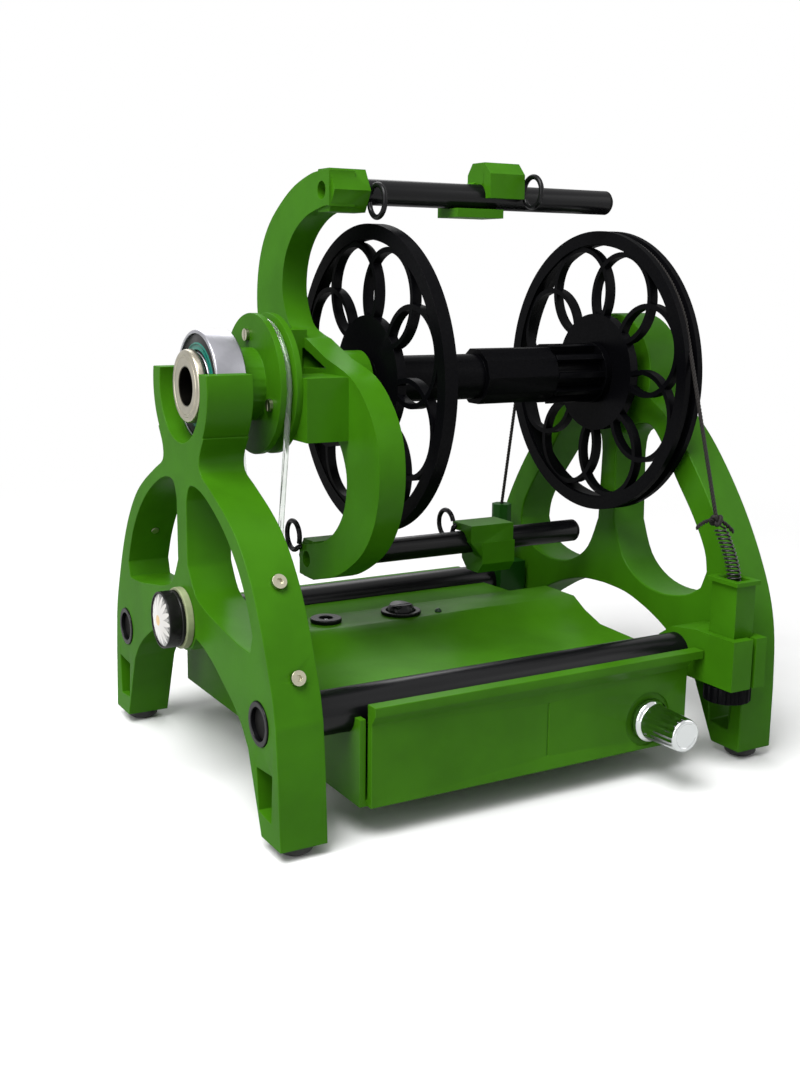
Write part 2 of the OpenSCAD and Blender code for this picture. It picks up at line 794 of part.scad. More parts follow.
// bobbin
ring_r = 0.305 * flange_r;
ring_mid = 0.9 * flange_r - ring_r;
strip = 0.034 * flange_r;
module lattice(rim) {
    difference() {
        circle(r = rim, $fn = 96);
        circle(r = 0.9 * flange_r, $fn = 96);
    }
    circle(r = 0.42 * flange_r, $fn = 96);
    for (k = [0:ring_count - 1])
        rotate(360 * k / ring_count + 27)
            translate([ring_mid, 0])
                difference() {
                    circle(r = ring_r + strip / 2, $fn = fine);
                    circle(r = ring_r - strip / 2, $fn = fine);
                }
}

module bobbin_front_flange() placed() color(black)
    difference() {
        union() {
            translate([0, 0, axis_h])
                along_x(bob_x0 + 0.5, front_fl_t - 1.5)
                    lattice(flange_r - 0.5);
            ring_x(bob_x0, front_fl_t, flange_r, 0.9 * flange_r + 0.5);
        }
        rod_x(bob_x0 - 1, 10, core_d / 2 + seat);
    }

module bobbin_rear_flange() placed() color(black)
    difference() {
        union() {
            translate([0, 0, axis_h])
                along_x(bob_x1 - rear_fl_t + 1, front_fl_t - 1.5)
                    lattice(0.9 * flange_r + 1);
            difference() {
                grooved_rim();
                rod_x(bob_x1 - rear_fl_t - 1, rear_fl_t + 2, 0.9 * flange_r + 0.5);
            }
        }
        rod_x(bob_x1 - rear_fl_t - 1, 12, core_d / 2 + seat);
    }

brake_r = flange_r - 1.6;
module grooved_rim() {
    w = rear_fl_t / 2;
    floor_r = brake_r - cord_r - gap;
    translate([brake_x, 0, axis_h])
        rotate([0, 90, 0])
            rotate_extrude($fn = 96)
                polygon([[0, -w], [flange_r, -w], [flange_r, -1.9], [floor_r, -1.3], [floor_r, 1.3],
                    [flange_r, 1.9], [flange_r, w], [0, w]]);
}

module bobbin_core() placed() color([0.09, 0.09, 0.10]) {
    r = core_d / 2;
    difference() {
        union() {
            rod_x(bob_x0 + 0.2, bobbin_len - 0.4, r);
            along_bobbin(bob_x1 - 71.5, 36)
                circle(r = r + 2.6, $fn = 10);
            along_bobbin(bob_x1 - 36, 36.8 - rear_fl_t)
                for (k = [0:9])
                    rotate(36 * k)
                        translate([r - 1, -1.2])
                            square([4.6, 2.4]);
            for (x = [bob_x0 + front_fl_t - 0.9, bob_x1 - rear_fl_t - 2.2])
                rod_x(x, 3.1, r + 4);
        }
        rod_x(bob_x0 - 1, bobbin_len + 2, r - 2.6);
    }
}

module along_bobbin(x0, length)
    translate([0, 0, axis_h])
        along_x(x0, length)
            children();

module bobbin_bushings() placed() color([0.86, 0.84, 0.76])
    for (x = [bob_x0 + 0.3, bob_x1 - 10.3])
        ring_x(x, 10, core_d / 2 - 2.6 - seat, shaft_d / 2 + run);

// brake
module tension_clamp() placed() color(green)
    difference() {
        along_x(clamp_x, clamp_len)
            polygon([[post_y - 11, clamp_z], [post_y - 11, clamp_top], [post_y + 11, clamp_top],
                [post_y + 25, clamp_top - 2], [rod_r - rod_y + 2.5, clamp_top - 7],
                [rod_r - rod_y + 2.5, clamp_z]]);
        rod_x(clamp_x - 1, clamp_len + 2, rod_r + seat, -rod_y, rod_z);
        translate([post_x - 5 - gap, post_y - 7 - gap, clamp_z + 4.5])
            cube([10 + 2 * gap, 14 + 2 * gap, 30]);
        translate([post_x + 1.5, post_y - 12, clamp_z - 1])
            cube([1.8, 8, 30]);
        translate([post_x, post_y, clamp_z - 1])
            cylinder(h = 8, r = 2.4 + run, $fn = 32);
    }

module tension_post() placed() color(green)
    difference() {
        union() {
            translate([post_x - 5, post_y - 7, clamp_z + 10])
                cube([10, 14, post_top - clamp_z - 10]);
            translate([post_x - 6.4, post_y - 8.4, post_top - 1.8])
                cube([12.8, 16.8, 1.8]);
        }
        translate([post_x - 3.6, post_y - 5.6, clamp_z + 22])
            cube([7.2, 11.2, 60]);
        translate([post_x, post_y, clamp_z])
            cylinder(h = 30, r = 2.4 + run, $fn = 32);
    }

module thumb_wheel() placed() color([0.05, 0.05, 0.05])
    translate([post_x, post_y, clamp_z - 6.9])
        difference() {
            rotate_extrude($fn = fine)
                polygon([[2.4 + seat, 0], [thumb_d / 2 - 0.4, 0], [thumb_d / 2, 0.4],
                    [thumb_d / 2, 6.1], [thumb_d / 2 - 0.4, 6.5], [2.4 + seat, 6.5]]);
            for (k = [0:17])
                rotate(20 * k)
                    translate([thumb_d / 2 + 0.5, 0, -1])
                        cylinder(h = 9, r = 1.1, $fn = 16);
        }

module tension_screw() placed() color(steel)
    translate([post_x, post_y, clamp_z - 8])
        cylinder(h = 27, r = 2.4, $fn = 32);

spring_r = 2.5;
spring_wire = 0.4;
spring_z0 = clamp_z + 23;
spring_pitch = 1.6;
spring_turns = 25;
echo(spring_gap = spring_pitch - 2 * spring_wire);
module tension_spring() placed() color([0.2, 0.2, 0.21]) {
    top = spring_z0 + spring_pitch * spring_turns;
    tube_path(concat(
        [[post_x + spring_r, post_y - 1.6, spring_z0 + 0.2]],
        [for (k = [0:8 * spring_turns])
            [post_x + spring_r * cos(45 * k), post_y + spring_r * sin(45 * k),
            spring_z0 + 0.4 + spring_pitch * k / 8]],
        [[post_x + spring_r, post_y + 0.6, top + 1.6]]),
        spring_wire, 6, false, [0, 0, 1]);
}

// brake cord: far anchor, over the rear flange, down to the spring
anchor_y = rod_y;
anchor_top = 84;
knot_z = spring_z0 + spring_pitch * spring_turns + 3.6;
function tangent_angle(y, z) = let (d = norm([y, z - axis_h])) acos(brake_r / d);
near_dir = atan2(knot_z - axis_h, post_y);
near_touch = near_dir - tangent_angle(post_y, knot_z) + 360;
far_dir = atan2(anchor_top - axis_h, anchor_y);
far_touch = far_dir + tangent_angle(anchor_y, anchor_top);
module brake_cord() placed() color([0.04, 0.04, 0.04]) {
    tube_path(concat(
        [[anchor_x, anchor_y, anchor_top - 4], [anchor_x, anchor_y, anchor_top + 1]],
        [for (k = [0:48]) let (a = far_touch + (near_touch - far_touch) * k / 48)
            [brake_x, brake_r * cos(a), axis_h + brake_r * sin(a)]],
        [[post_x, post_y, knot_z]]), cord_r, 8);
    translate([post_x, post_y, knot_z - 1])
        sphere(r = 2, $fn = 32);
}

anchor_x = brake_x - 2;
module cord_anchor() placed() color([0.10, 0.30, 0.08])
    difference() {
        union() {
            translate([anchor_x - 7.5, rod_y - rod_r - 3.5, rod_z - 11])
                cube([15, 2 * rod_r + 7, 22]);
            translate([anchor_x, anchor_y, rod_z + 10])
                cylinder(h = anchor_top - rod_z - 10, r = 5, $fn = 8);
        }
        rod_x(anchor_x - 8.5, 18, rod_r + seat, rod_y, rod_z);
        translate([anchor_x, anchor_y, anchor_top - 6])
            cylinder(h = 8, r = cord_r + gap, $fn = 24);
        translate([anchor_x - 8.5, rod_y + 4, rod_z])
            cube([18, 1.5, 20]);
    }

// round badge on the hub of the front frame
module badge_base() placed() color([0.62, 0.66, 0.58]) {
    rod_x(front_x - 3, 3, 12, 0, badge_z);
    rod_x(front_x - 3, 5.8, 2.5, 0, badge_z);
}

module badge_rim() placed() color(black)
    difference() {
        rod_x(front_x - 9.5, 6.5 - seat, 11, 0, badge_z);
        rod_x(front_x - 10, 3, 9.8, 0, badge_z);
    }

module badge_dome() placed() color([0.85, 0.85, 0.80])
    translate([front_x - 7.05, 0, badge_z])
        rotate([0, -90, 0])
            intersection() {
                translate([0, 0, -14])
                    sphere(r = 17.5, $fn = fine);
                cylinder(h = 6, r = 9.7, $fn = fine);
            }

front_frame();
rear_frame();
near_rod();
far_rod();
rod_plugs();
leg_screws();
rubber_feet();
housing_tray();
housing_cover();
control_panel();
indicator_led();
circuit_board();
potentiometer();
pot_shaft();
speed_knob();
dc_jack();
jack_pin();
switch_bezel();
switch_rocker();
motor_body();
motor_screws();
motor_shaft();
motor_pulley();
drive_band();
front_bearing_outer();
front_bearing_seal();
front_bearing_inner();
orifice_bushing();
whorl();
whorl_screws();
flyer_plate();
spindle_shaft();
upper_tube();
lower_tube();
tube_caps();
fixed_hooks();
upper_clip();
upper_clip_hook();
lower_clip();
lower_clip_hook();
bobbin_front_flange();
bobbin_core();
bobbin_rear_flange();
bobbin_bushings();
rear_bearing_outer();
rear_bearing_inner();
tension_clamp();
tension_post();
thumb_wheel();
tension_screw();
tension_spring();
brake_cord();
cord_anchor();
badge_base();
badge_rim();
badge_dome();
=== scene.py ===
"""Looks of the electric spinning wheel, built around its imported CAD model.

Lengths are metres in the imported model's frame: X runs along the spindle, -Y is the side with
the speed knob, Z is up from the table. Sizes given in millimetres are marked with MM.
"""

import json
import logging
import math
from dataclasses import dataclass, field
from enum import Enum
from typing import Any, Iterable, Optional, Sequence

import bmesh
import bpy
import numpy as np
from bpy.types import Material, Mesh, Node, NodeSocket, Object, World
from mathutils import Matrix, Vector

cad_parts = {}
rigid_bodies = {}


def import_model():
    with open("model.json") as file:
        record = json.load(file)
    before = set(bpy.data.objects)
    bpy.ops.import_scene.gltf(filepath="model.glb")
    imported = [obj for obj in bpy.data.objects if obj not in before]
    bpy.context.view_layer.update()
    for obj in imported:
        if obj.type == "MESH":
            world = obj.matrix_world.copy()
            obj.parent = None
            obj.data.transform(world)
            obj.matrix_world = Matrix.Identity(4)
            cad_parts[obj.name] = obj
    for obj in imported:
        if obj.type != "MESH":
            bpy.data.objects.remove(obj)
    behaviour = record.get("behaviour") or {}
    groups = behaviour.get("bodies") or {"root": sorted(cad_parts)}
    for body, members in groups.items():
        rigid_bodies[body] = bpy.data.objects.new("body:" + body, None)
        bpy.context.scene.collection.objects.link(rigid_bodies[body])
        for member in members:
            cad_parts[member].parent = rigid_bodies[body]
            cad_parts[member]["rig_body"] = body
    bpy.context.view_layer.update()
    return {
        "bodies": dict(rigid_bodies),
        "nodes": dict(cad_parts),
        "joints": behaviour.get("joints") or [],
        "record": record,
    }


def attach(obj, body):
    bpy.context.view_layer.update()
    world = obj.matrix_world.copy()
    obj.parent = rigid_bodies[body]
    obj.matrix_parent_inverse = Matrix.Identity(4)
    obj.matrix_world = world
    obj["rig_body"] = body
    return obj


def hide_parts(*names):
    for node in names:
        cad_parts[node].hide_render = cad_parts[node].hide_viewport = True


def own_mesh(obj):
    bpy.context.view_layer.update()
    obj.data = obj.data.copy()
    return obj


LOG = logging.getLogger("spinning_wheel")
MM = 0.001
Triple = tuple[float, float, float]
Colour = Triple

# The part's origin lies this far from the drawing's own origin on the spindle axis.
SHIFT = np.array([4.45, 8.2, 0.0])
AXIS_Z = 155.0


def place(points: Any) -> np.ndarray:
    """Turns drawing millimetres into metres in the part's frame.

    Args:
        points: an array whose last axis is x, y, z.

    Returns:
        The same array in metres.
    """
    return (np.asarray(points, float) + SHIFT) * MM


def shade(colour: Colour, factor: float, lift: float = 0.0) -> Colour:
    """Scales a colour and lifts it; no part passes 1."""
    return tuple(min(1.0, part * factor + lift) for part in colour)


class Grain(Enum):
    """The direction in which a printed piece was built up, layer by layer."""

    X = 0
    Y = 1
    Z = 2


# Shader building


class Sock:
    """An output socket whose arithmetic adds Math nodes."""

    def __init__(self, graph: "Graph", socket: NodeSocket) -> None:
        """Keeps the socket and the graph that it belongs to."""
        self.graph = graph
        self.socket = socket

    def math(self, operation: str, *others: Any, first: bool = True) -> "Sock":
        """Adds one Math node.

        Args:
            operation: the Math node's operation.
            others: the other operands, numbers or sockets.
            first: whether this socket is the first operand.

        Returns:
            The node's result.
        """
        operands = (self, *others) if first else (*others, self)
        node = self.graph.node("ShaderNodeMath", {"operation": operation},
                               {i: v for i, v in enumerate(operands)})
        return Sock(self.graph, node.outputs[0])

    def __add__(self, other: Any) -> "Sock":
        """Adds."""
        return self.math("ADD", other)

    def __mul__(self, other: Any) -> "Sock":
        """Multiplies."""
        return self.math("MULTIPLY", other)

    def __sub__(self, other: Any) -> "Sock":
        """Subtracts."""
        return self.math("SUBTRACT", other)

    def __rsub__(self, other: Any) -> "Sock":
        """Subtracts this from a number."""
        return self.math("SUBTRACT", other, first=False)

    def __truediv__(self, other: Any) -> "Sock":
        """Divides."""
        return self.math("DIVIDE", other)

    def __abs__(self) -> "Sock":
        """Takes the size without the sign."""
        return self.math("ABSOLUTE")

    def sin(self) -> "Sock":
        """Takes the sine of radians."""
        return self.math("SINE")

    def reach(self, other: "Sock") -> "Sock":
        """Takes the length of the vector whose parts are this and the other."""
        return (self * self + other * other).math("SQRT")

    def step(self, low: float, high: float) -> "Sock":
        """Rises smoothly from 0 at low to 1 at high."""
        node = self.graph.node("ShaderNodeMapRange", {"interpolation_type": "SMOOTHSTEP"},
                               {0: self, 1: low, 2: high, 3: 0.0, 4: 1.0})
        return Sock(self.graph, node.outputs[0])


class Graph:
    """A material's or a world's node tree and the few calls that fill it."""

    def __init__(self, name: str, world: Optional[World] = None) -> None:
        """Starts an empty material of that name, or empties the world's tree."""
        self.owner = world or bpy.data.materials.new(name)
        self.owner.use_nodes = True
        self.tree = self.owner.node_tree
        self.tree.nodes.clear()
        self._coords: Optional[Node] = None

    def node(self, kind: str, settings: Optional[dict] = None,
             values: Optional[dict] = None) -> Node:
        """Adds one node.

        Args:
            kind: the node's type name.
            settings: the node's own properties.
            values: input name or number to a number, colour, Sock or socket.

        Returns:
            The new node.
        """
        node = self.tree.nodes.new(kind)
        for key, value in (settings or {}).items():
            setattr(node, key, value)
        for key, value in (values or {}).items():
            target = node.inputs[key]
            if isinstance(value, Sock):
                self.tree.links.new(value.socket, target)
            elif isinstance(value, NodeSocket):
                self.tree.links.new(value, target)
            elif isinstance(value, tuple) and len(value) == 3 and target.type == "RGBA":
                target.default_value = (*value, 1.0)
            else:
                target.default_value = value
        return node

    def coords(self) -> NodeSocket:
        """Returns the Object coordinates, in metres."""
        if self._coords is None:
            self._coords = self.node("ShaderNodeTexCoord")
        return self._coords.outputs["Object"]

    def axes(self, vector: Optional[NodeSocket] = None) -> list[Sock]:
        """Splits a vector, or the Object coordinates, into x, y and z."""
        split = self.node("ShaderNodeSeparateXYZ", values={0: vector or self.coords()})
        return [Sock(self, out) for out in split.outputs]

    def normal_axes(self) -> list[Sock]:
        """Splits the surface's normal into x, y and z."""
        geometry = self.node("ShaderNodeNewGeometry")
        turned = self.node("ShaderNodeVectorTransform",
                           {"vector_type": "NORMAL", "convert_from": "WORLD",
                            "convert_to": "OBJECT"}, {0: geometry.outputs["Normal"]})
        return self.axes(turned.outputs[0])

    def noise(self, scale: float, detail: float = 2.0, rough: float = 0.5,
              stretch: Triple = (1, 1, 1)) -> Sock:
        """Returns smooth noise from 0 to 1.

        Args:
            scale: blotches a metre.
            detail: octaves.
            rough: weight of the finer octaves.
            stretch: factors on x, y and z before the noise.
        """
        mapping = self.node("ShaderNodeMapping", values={"Vector": self.coords(),
                                                         "Scale": stretch})
        node = self.node("ShaderNodeTexNoise", None,
                         {"Vector": mapping.outputs[0], "Scale": scale, "Detail": detail,
                          "Roughness": rough})
        return Sock(self, node.outputs[0])

    def mix(self, factor: Any, a: Any, b: Any) -> NodeSocket:
        """Blends colour a to colour b by a factor."""
        node = self.node("ShaderNodeMix", {"data_type": "RGBA"},
                         {0: factor, 6: a, 7: b})
        return node.outputs[2]

    def bump(self, height: Sock, distance: float, strength: float = 1.0,
             under: Optional[NodeSocket] = None) -> NodeSocket:
        """Turns a height into a bent normal.

        Args:
            height: the height, 0 to 1.
            distance: metres that a height of 1 stands out.
            strength: how much of it shows.
            under: a normal that is already bent.
        """
        values = {"Height": height, "Distance": distance, "Strength": strength}
        if under is not None:
            values["Normal"] = under
        return self.node("ShaderNodeBump", None, values).outputs[0]

    def seen(self) -> Sock:
        """Is 1 for what the camera, mirrors and clear pieces see, 0 for diffuse light."""
        rays = self.node("ShaderNodeLightPath").outputs
        seen = Sock(self, rays["Is Camera Ray"])
        for kind in ("Is Glossy Ray", "Is Transmission Ray"):
            seen = seen.math("MAXIMUM", Sock(self, rays[kind]))
        return seen

    def close(self, shader: Node, output: str = "ShaderNodeOutputMaterial") -> Any:
        """Links the last shader to the output and returns the material or the world."""
        self.node(output, None, {0: shader.outputs[0]})
        return self.owner

    def surface(self, **values: Any) -> Material:
        """Ends the graph in a Principled shader; underscores in names stand for spaces."""
        return self.close(self.node("ShaderNodeBsdfPrincipled", None,
                                    {k.replace("_", " "): v for k, v in values.items()}))


# Finishes


@dataclass(frozen=True)
class PrintedPlastic:
    """Satin plastic laid down in thin layers."""

    name: str
    colour: Colour
    grain: Grain
    roughness: float = 0.42
    layer: float = 0.3 * MM
    depth: float = 0.012 * MM
    mottle: float = 0.10
    stroke: float = 0.52
    coat: float = 0.16

    def material(self) -> Material:
        """Builds the layers, the drawn lines on flat tops, and faint blotches.

        A wall shows a sine wave along the build direction. A top or bottom face shows a
        wave of stroke times that frequency along a diagonal, as the last layer's strokes do.
        """
        graph = Graph(self.name)
        xyz = graph.axes()
        normal = graph.normal_axes()
        along = xyz[self.grain.value]
        others = [a for i, a in enumerate(xyz) if i != self.grain.value]
        turn = 2 * math.pi / self.layer
        top = abs(normal[self.grain.value]).step(0.75, 0.95)
        wobble = graph.noise(160) * 2.2
        wall_wave = (along * turn + wobble).sin() * 0.5 + 0.5
        diagonal = (others[0] + others[1]) * (turn * self.stroke)
        top_wave = (diagonal + wobble).sin() * 0.5 + 0.5
        height = wall_wave * (1 - top) + top_wave * top * 0.6
        blotch = graph.noise(38, detail=3, rough=0.55)
        colour = graph.mix(blotch.step(0.3, 0.7), shade(self.colour, 1 - self.mottle),
                           shade(self.colour, 1 + self.mottle))
        fleck = graph.noise(900, rough=0.6)
        rough = blotch * 0.10 + fleck * 0.10 + (self.roughness - 0.10)
        uneven = graph.bump(fleck, 0.02 * MM, strength=0.5)
        return graph.surface(Base_Color=colour, Roughness=rough, Specular_IOR_Level=0.0,
                             Coat_Weight=fleck * 0.08 + self.coat, Coat_Roughness=0.30,
                             Normal=graph.bump(height, self.depth, strength=0.8,
                                               under=uneven))


@dataclass(frozen=True)
class SmoothPlastic:
    """Moulded or drawn plastic, with a faint haze and rubbed marks."""

    name: str
    colour: Colour
    roughness: float = 0.3
    streak: Triple = (1, 1, 1)
    coat: float = 0.30

    def material(self) -> Material:
        """Builds the haze as noise, stretched along the piece where it was drawn."""
        graph = Graph(self.name)
        haze = graph.noise(120, detail=3, rough=0.6, stretch=self.streak)
        fleck = graph.noise(1400, detail=1, stretch=self.streak)
        colour = graph.mix(haze.step(0.35, 0.75), self.colour,
                           shade(self.colour, 1.35, 0.0015))
        rough = haze * 0.16 + fleck * 0.06 + (self.roughness - 0.09)
        return graph.surface(Base_Color=colour, Roughness=rough, Specular_IOR_Level=0.0,
                             Coat_Weight=haze * 0.12 + self.coat,
                             Coat_Roughness=self.roughness * 0.8,
                             Normal=graph.bump(fleck, 0.01 * MM, strength=0.4))


@dataclass(frozen=True)
class Rubber:
    """Dull black rubber with a fine grain."""

    name: str
    colour: Colour = (0.012, 0.012, 0.012)

    def material(self) -> Material:
        """Builds dusty patches over a fine grain."""
        graph = Graph(self.name)
        dust = graph.noise(90, detail=4, rough=0.6)
        grain = graph.noise(1600, detail=1)
        colour = graph.mix(dust.step(0.45, 0.8), self.colour, shade(self.colour, 2.2, 0.01))
        return graph.surface(Base_Color=colour, Roughness=dust * 0.15 + 0.68,
                             Normal=graph.bump(grain, 0.03 * MM, strength=0.6))


@dataclass(frozen=True)
class TurnedMetal:
    """Metal with the fine rings that a lathe or a grinder leaves about the spindle axis."""

    name: str
    colour: Colour
    roughness: float = 0.22
    centre: tuple[float, float] = (8.2 * MM, AXIS_Z * MM)
    rings: float = 5200.0
    # Radius inside which the colour is darkened as painted shade; 0 for none.
    bore: float = 0.0

    def material(self) -> Material:
        """Builds the rings as noise of the distance from the axis and the place along it.

        Inside the radius of the bore the colour drops to a tenth: painted shade in the bore.
        """
        graph = Graph(self.name)
        x, y, z = graph.axes()
        radius = (y - self.centre[0]).reach(z - self.centre[1])
        flat = graph.node("ShaderNodeCombineXYZ", None, {0: radius, 1: x - SHIFT[0] * MM})
        rings = Sock(graph, graph.node("ShaderNodeTexNoise", None,
                                       {"Vector": flat.outputs[0], "Scale": self.rings,
                                        "Detail": 1.0}).outputs[0])
        stain = graph.noise(110, detail=3)
        colour = graph.mix(stain.step(0.35, 0.75), self.colour, shade(self.colour, 0.82))
        # Painted shade: inside the bore the colour drops to a tenth.
        if self.bore:
            colour = graph.mix(radius.step(self.bore, self.bore + 0.3 * MM),
                               shade(self.colour, 0.10), colour)
        rough = rings * 0.16 + stain * 0.08 + (self.roughness - 0.1)
        return graph.surface(Base_Color=colour, Metallic=1.0, Roughness=rough,
                             Normal=graph.bump(rings, 0.004 * MM, strength=0.5))


@dataclass(frozen=True)
class BrightPlating:
    """Bright plating over moulded plastic, with finger haze."""

    name: str
    colour: Colour = (0.56, 0.58, 0.58)

    def material(self) -> Material:
        """Builds haze as soft noise on the roughness, and faint waves."""
        graph = Graph(self.name)
        haze = graph.noise(140, detail=3, rough=0.6)
        wave = graph.noise(260, detail=1)
        return graph.surface(Base_Color=self.colour, Metallic=1.0,
                             Roughness=haze.step(0.45, 0.9) * 0.14 + 0.05,
                             Normal=graph.bump(wave, 0.02 * MM, strength=0.25))


@dataclass(frozen=True)
class ClearBand:
    """Clear elastic cord, slightly milky."""

    name: str

    def material(self) -> Material:
        """Builds milky streaks in the colour and in the roughness."""
        graph = Graph(self.name)
        milk = graph.noise(420)
        colour = graph.mix(milk.step(0.3, 0.8), (0.84, 0.90, 0.84), (0.96, 0.97, 0.95))
        return graph.surface(Base_Color=colour, Roughness=milk * 0.10 + 0.06,
                             Transmission_Weight=0.93, IOR=1.40)


@dataclass(frozen=True)
class TwistedCord:
    """Waxed black cord; its plies are in the mesh."""

    name: str
    colour: Colour = (0.0045, 0.0035, 0.003)

    def material(self) -> Material:
        """Builds fine fibres as stretched noise."""
        graph = Graph(self.name)
        fibre = graph.noise(2600, rough=0.6, stretch=(1, 1, 0.25))
        colour = graph.mix(fibre, self.colour, shade(self.colour, 2.5, 0.004))
        return graph.surface(Base_Color=colour, Roughness=fibre * 0.2 + 0.55,
                             Specular_IOR_Level=0.25,
                             Normal=graph.bump(fibre, 0.05 * MM, strength=0.7))


@dataclass(frozen=True)
class Rosette:
    """A plain flower under a clear dome: pale petals, a warm middle and a dark ground."""

    name: str
    centre: tuple[float, float] = (8.2 * MM, 66.0 * MM)
    ground: Colour = (0.030, 0.032, 0.026)
    petal: Colour = (0.62, 0.60, 0.57)
    middle: Colour = (0.62, 0.36, 0.05)
    count: int = 14

    def petals(self, radius: Sock, angle: Sock, near: float, far: float, width: float,
               phase: float = 0.0) -> Sock:
        """Masks one ring of petals.

        The turn is cut into count sectors. A petal is an ellipse about the middle of its
        sector, from near to far along the radius.

        Args:
            radius: distance from the centre, metres.
            angle: direction from the centre, radians.
            near: where the petals start, metres from the centre.
            far: where they end.
            width: half a petal's width, metres.
            phase: turn of the ring as a share of a sector.
        """
        sector = angle * (self.count / (2 * math.pi)) + (phase + 0.5 + self.count)
        across = (sector.math("FRACT") - 0.5) * radius * (2 * math.pi / self.count) / width
        out = (radius - (near + far) / 2) / ((far - near) / 2)
        return 1 - across.reach(out).step(0.9, 1.05)

    def material(self) -> Material:
        """Builds two rings of petals, the shade between them and the warm middle."""
        graph = Graph(self.name)
        _, y, z = graph.axes()
        y, z = y - self.centre[0], z - self.centre[1]
        radius, angle = y.reach(z), z.math("ARCTAN2", y)
        front = self.petals(radius, angle, near=1.2 * MM, far=9.9 * MM, width=1.2 * MM)
        behind = self.petals(radius, angle, near=2.0 * MM, far=9.3 * MM, width=1.1 * MM,
                             phase=0.5)
        warm = 1 - radius.step(1.9 * MM, 2.2 * MM)
        worn = graph.noise(700)
        ground = graph.mix(worn, self.ground, shade(self.ground, 1.5))
        shaded = graph.mix(behind, ground, shade(self.petal, 0.5))
        colour = graph.mix(warm, graph.mix(front, shaded, self.petal), self.middle)
        return graph.surface(Base_Color=colour, Roughness=worn * 0.1 + 0.3,
                             Coat_Weight=1.0, Coat_Roughness=0.04)


# Surfaces


def unit(vectors: np.ndarray) -> np.ndarray:
    """Scales vectors on the last axis to length one."""
    return vectors / np.linalg.norm(vectors, axis=-1, keepdims=True)


def grid_mesh(name: str, points: np.ndarray, wrap_u: bool = False,
              caps: bool = True) -> Mesh:
    """Makes a mesh of the points of a surface of two parameters, whose last j joins the first.

    Point (i, j) joins (i, j+1), (i+1, j+1) and (i+1, j) in a quad, whose outside is the cross
    product of the j direction and the i direction.

    Args:
        name: the mesh's name.
        points: an array of shape (i, j, 3).
        wrap_u: whether the last i joins the first.
        caps: whether a face closes the first and the last i.
    """
    nu, nv = points.shape[:2]
    i = np.arange(nu if wrap_u else nu - 1)[:, None]
    j = np.arange(nv)[None, :]
    i2, j2 = (i + 1) % nu, (j + 1) % nv
    quads = np.stack([i * nv + j, i * nv + j2, i2 * nv + j2, i2 * nv + j], -1).reshape(-1, 4)
    faces = quads.tolist()
    if caps and not wrap_u:
        faces.append(list(range(nv - 1, -1, -1)))
        faces.append(list(range((nu - 1) * nv, nu * nv)))
    mesh = bpy.data.meshes.new(name)
    mesh.from_pydata(points.reshape(-1, 3).tolist(), [], faces)
    return mesh


def closed_up(mesh: Mesh) -> Mesh:
    """Merges the doubles at poles and seams and turns the faces outwards."""
    merge = 1e-7
    bm = bmesh.new()
    bm.from_mesh(mesh)
    bmesh.ops.remove_doubles(bm, verts=bm.verts, dist=merge)
    bmesh.ops.dissolve_degenerate(bm, edges=bm.edges, dist=merge)
    bmesh.ops.recalc_face_normals(bm, faces=bm.faces)
    bm.to_mesh(mesh)
    bm.free()
    return mesh


def joined(name: str, meshes: Iterable[Mesh]) -> Mesh:
    """Puts several meshes into one."""
    bm = bmesh.new()
    for mesh in meshes:
        bm.from_mesh(mesh)
        bpy.data.meshes.remove(mesh)
    result = bpy.data.meshes.new(name)
    bm.to_mesh(result)
    bm.free()
    return result


def path_frames(path: np.ndarray, closed: bool, side: Sequence[float]) -> tuple[
        np.ndarray, np.ndarray]:
    """Finds two directions across a path at each of its points.

    The tangent is the central difference. The first direction is the tangent crossed with
    side, the second the tangent crossed with the first.

    Args:
        path: points in metres, shape (n, 3).
        closed: whether the path's end joins its start.
        side: a direction that the path never runs along.

    Returns:
        The first and the second direction, each of shape (n, 3).
    """
    if closed:
        tangent = unit(np.roll(path, -1, 0) - np.roll(path, 1, 0))
    else:
        tangent = unit(np.gradient(path, axis=0))
    first = unit(np.cross(tangent, np.asarray(side, float)))
    return first, np.cross(tangent, first)


def full_turn(count: int) -> np.ndarray:
    """Spaces angles evenly round a full turn."""
    return np.linspace(0, 2 * np.pi, count, endpoint=False)


def tube(name: str, path: np.ndarray, radius: Any, sides: int = 16, closed: bool = False,
         side: Sequence[float] = (1, 0, 0)) -> Mesh:
    """Sweeps a circle along a path: path + radius (first cos a + second sin a).

    Args:
        name: the mesh's name.
        path: points in metres, shape (n, 3).
        radius: metres, one number or one for each point.
        sides: points round the circle.
        closed: whether the path's end joins its start.
        side: a direction that the path never runs along.
    """
    first, second = path_frames(path, closed, side)
    a = full_turn(sides)[None, :, None]
    r = np.broadcast_to(np.asarray(radius, float), (len(path),))[:, None, None]
    points = path[:, None] + r * (np.cos(a) * first[:, None] + np.sin(a) * second[:, None])
    return grid_mesh(name, points, wrap_u=closed)


def path_run(path: np.ndarray) -> np.ndarray:
    """Measures the length from the start of a path to each of its points."""
    return np.concatenate([[0], np.cumsum(np.linalg.norm(np.diff(path, axis=0), axis=1))])


def twisted(name: str, path: np.ndarray, radius: float, lay: float, plies: int = 3,
            sides: int = 8) -> Mesh:
    """Lays plies round a path: each ply's line is path + offset turned once every lay.

    The offset is half the cord's radius, and a ply is a little thicker than that half, so
    neighbours press into each other.

    Args:
        name: the mesh's name.
        path: evenly spaced points in metres.
        radius: the cord's radius.
        lay: length of one turn.
        plies: how many strands.
        sides: points round a strand.
    """
    first, second = path_frames(path, False, (1, 0, 0))
    offset, ply = 0.5 * radius, 0.56 * radius
    strands = []
    for k in range(plies):
        a = (2 * np.pi * (path_run(path) / lay + k / plies))[:, None]
        line = path + offset * (np.cos(a) * first + np.sin(a) * second)
        strands.append(tube(f"{name}_{k}", line, ply, sides))
    return joined(name, strands)


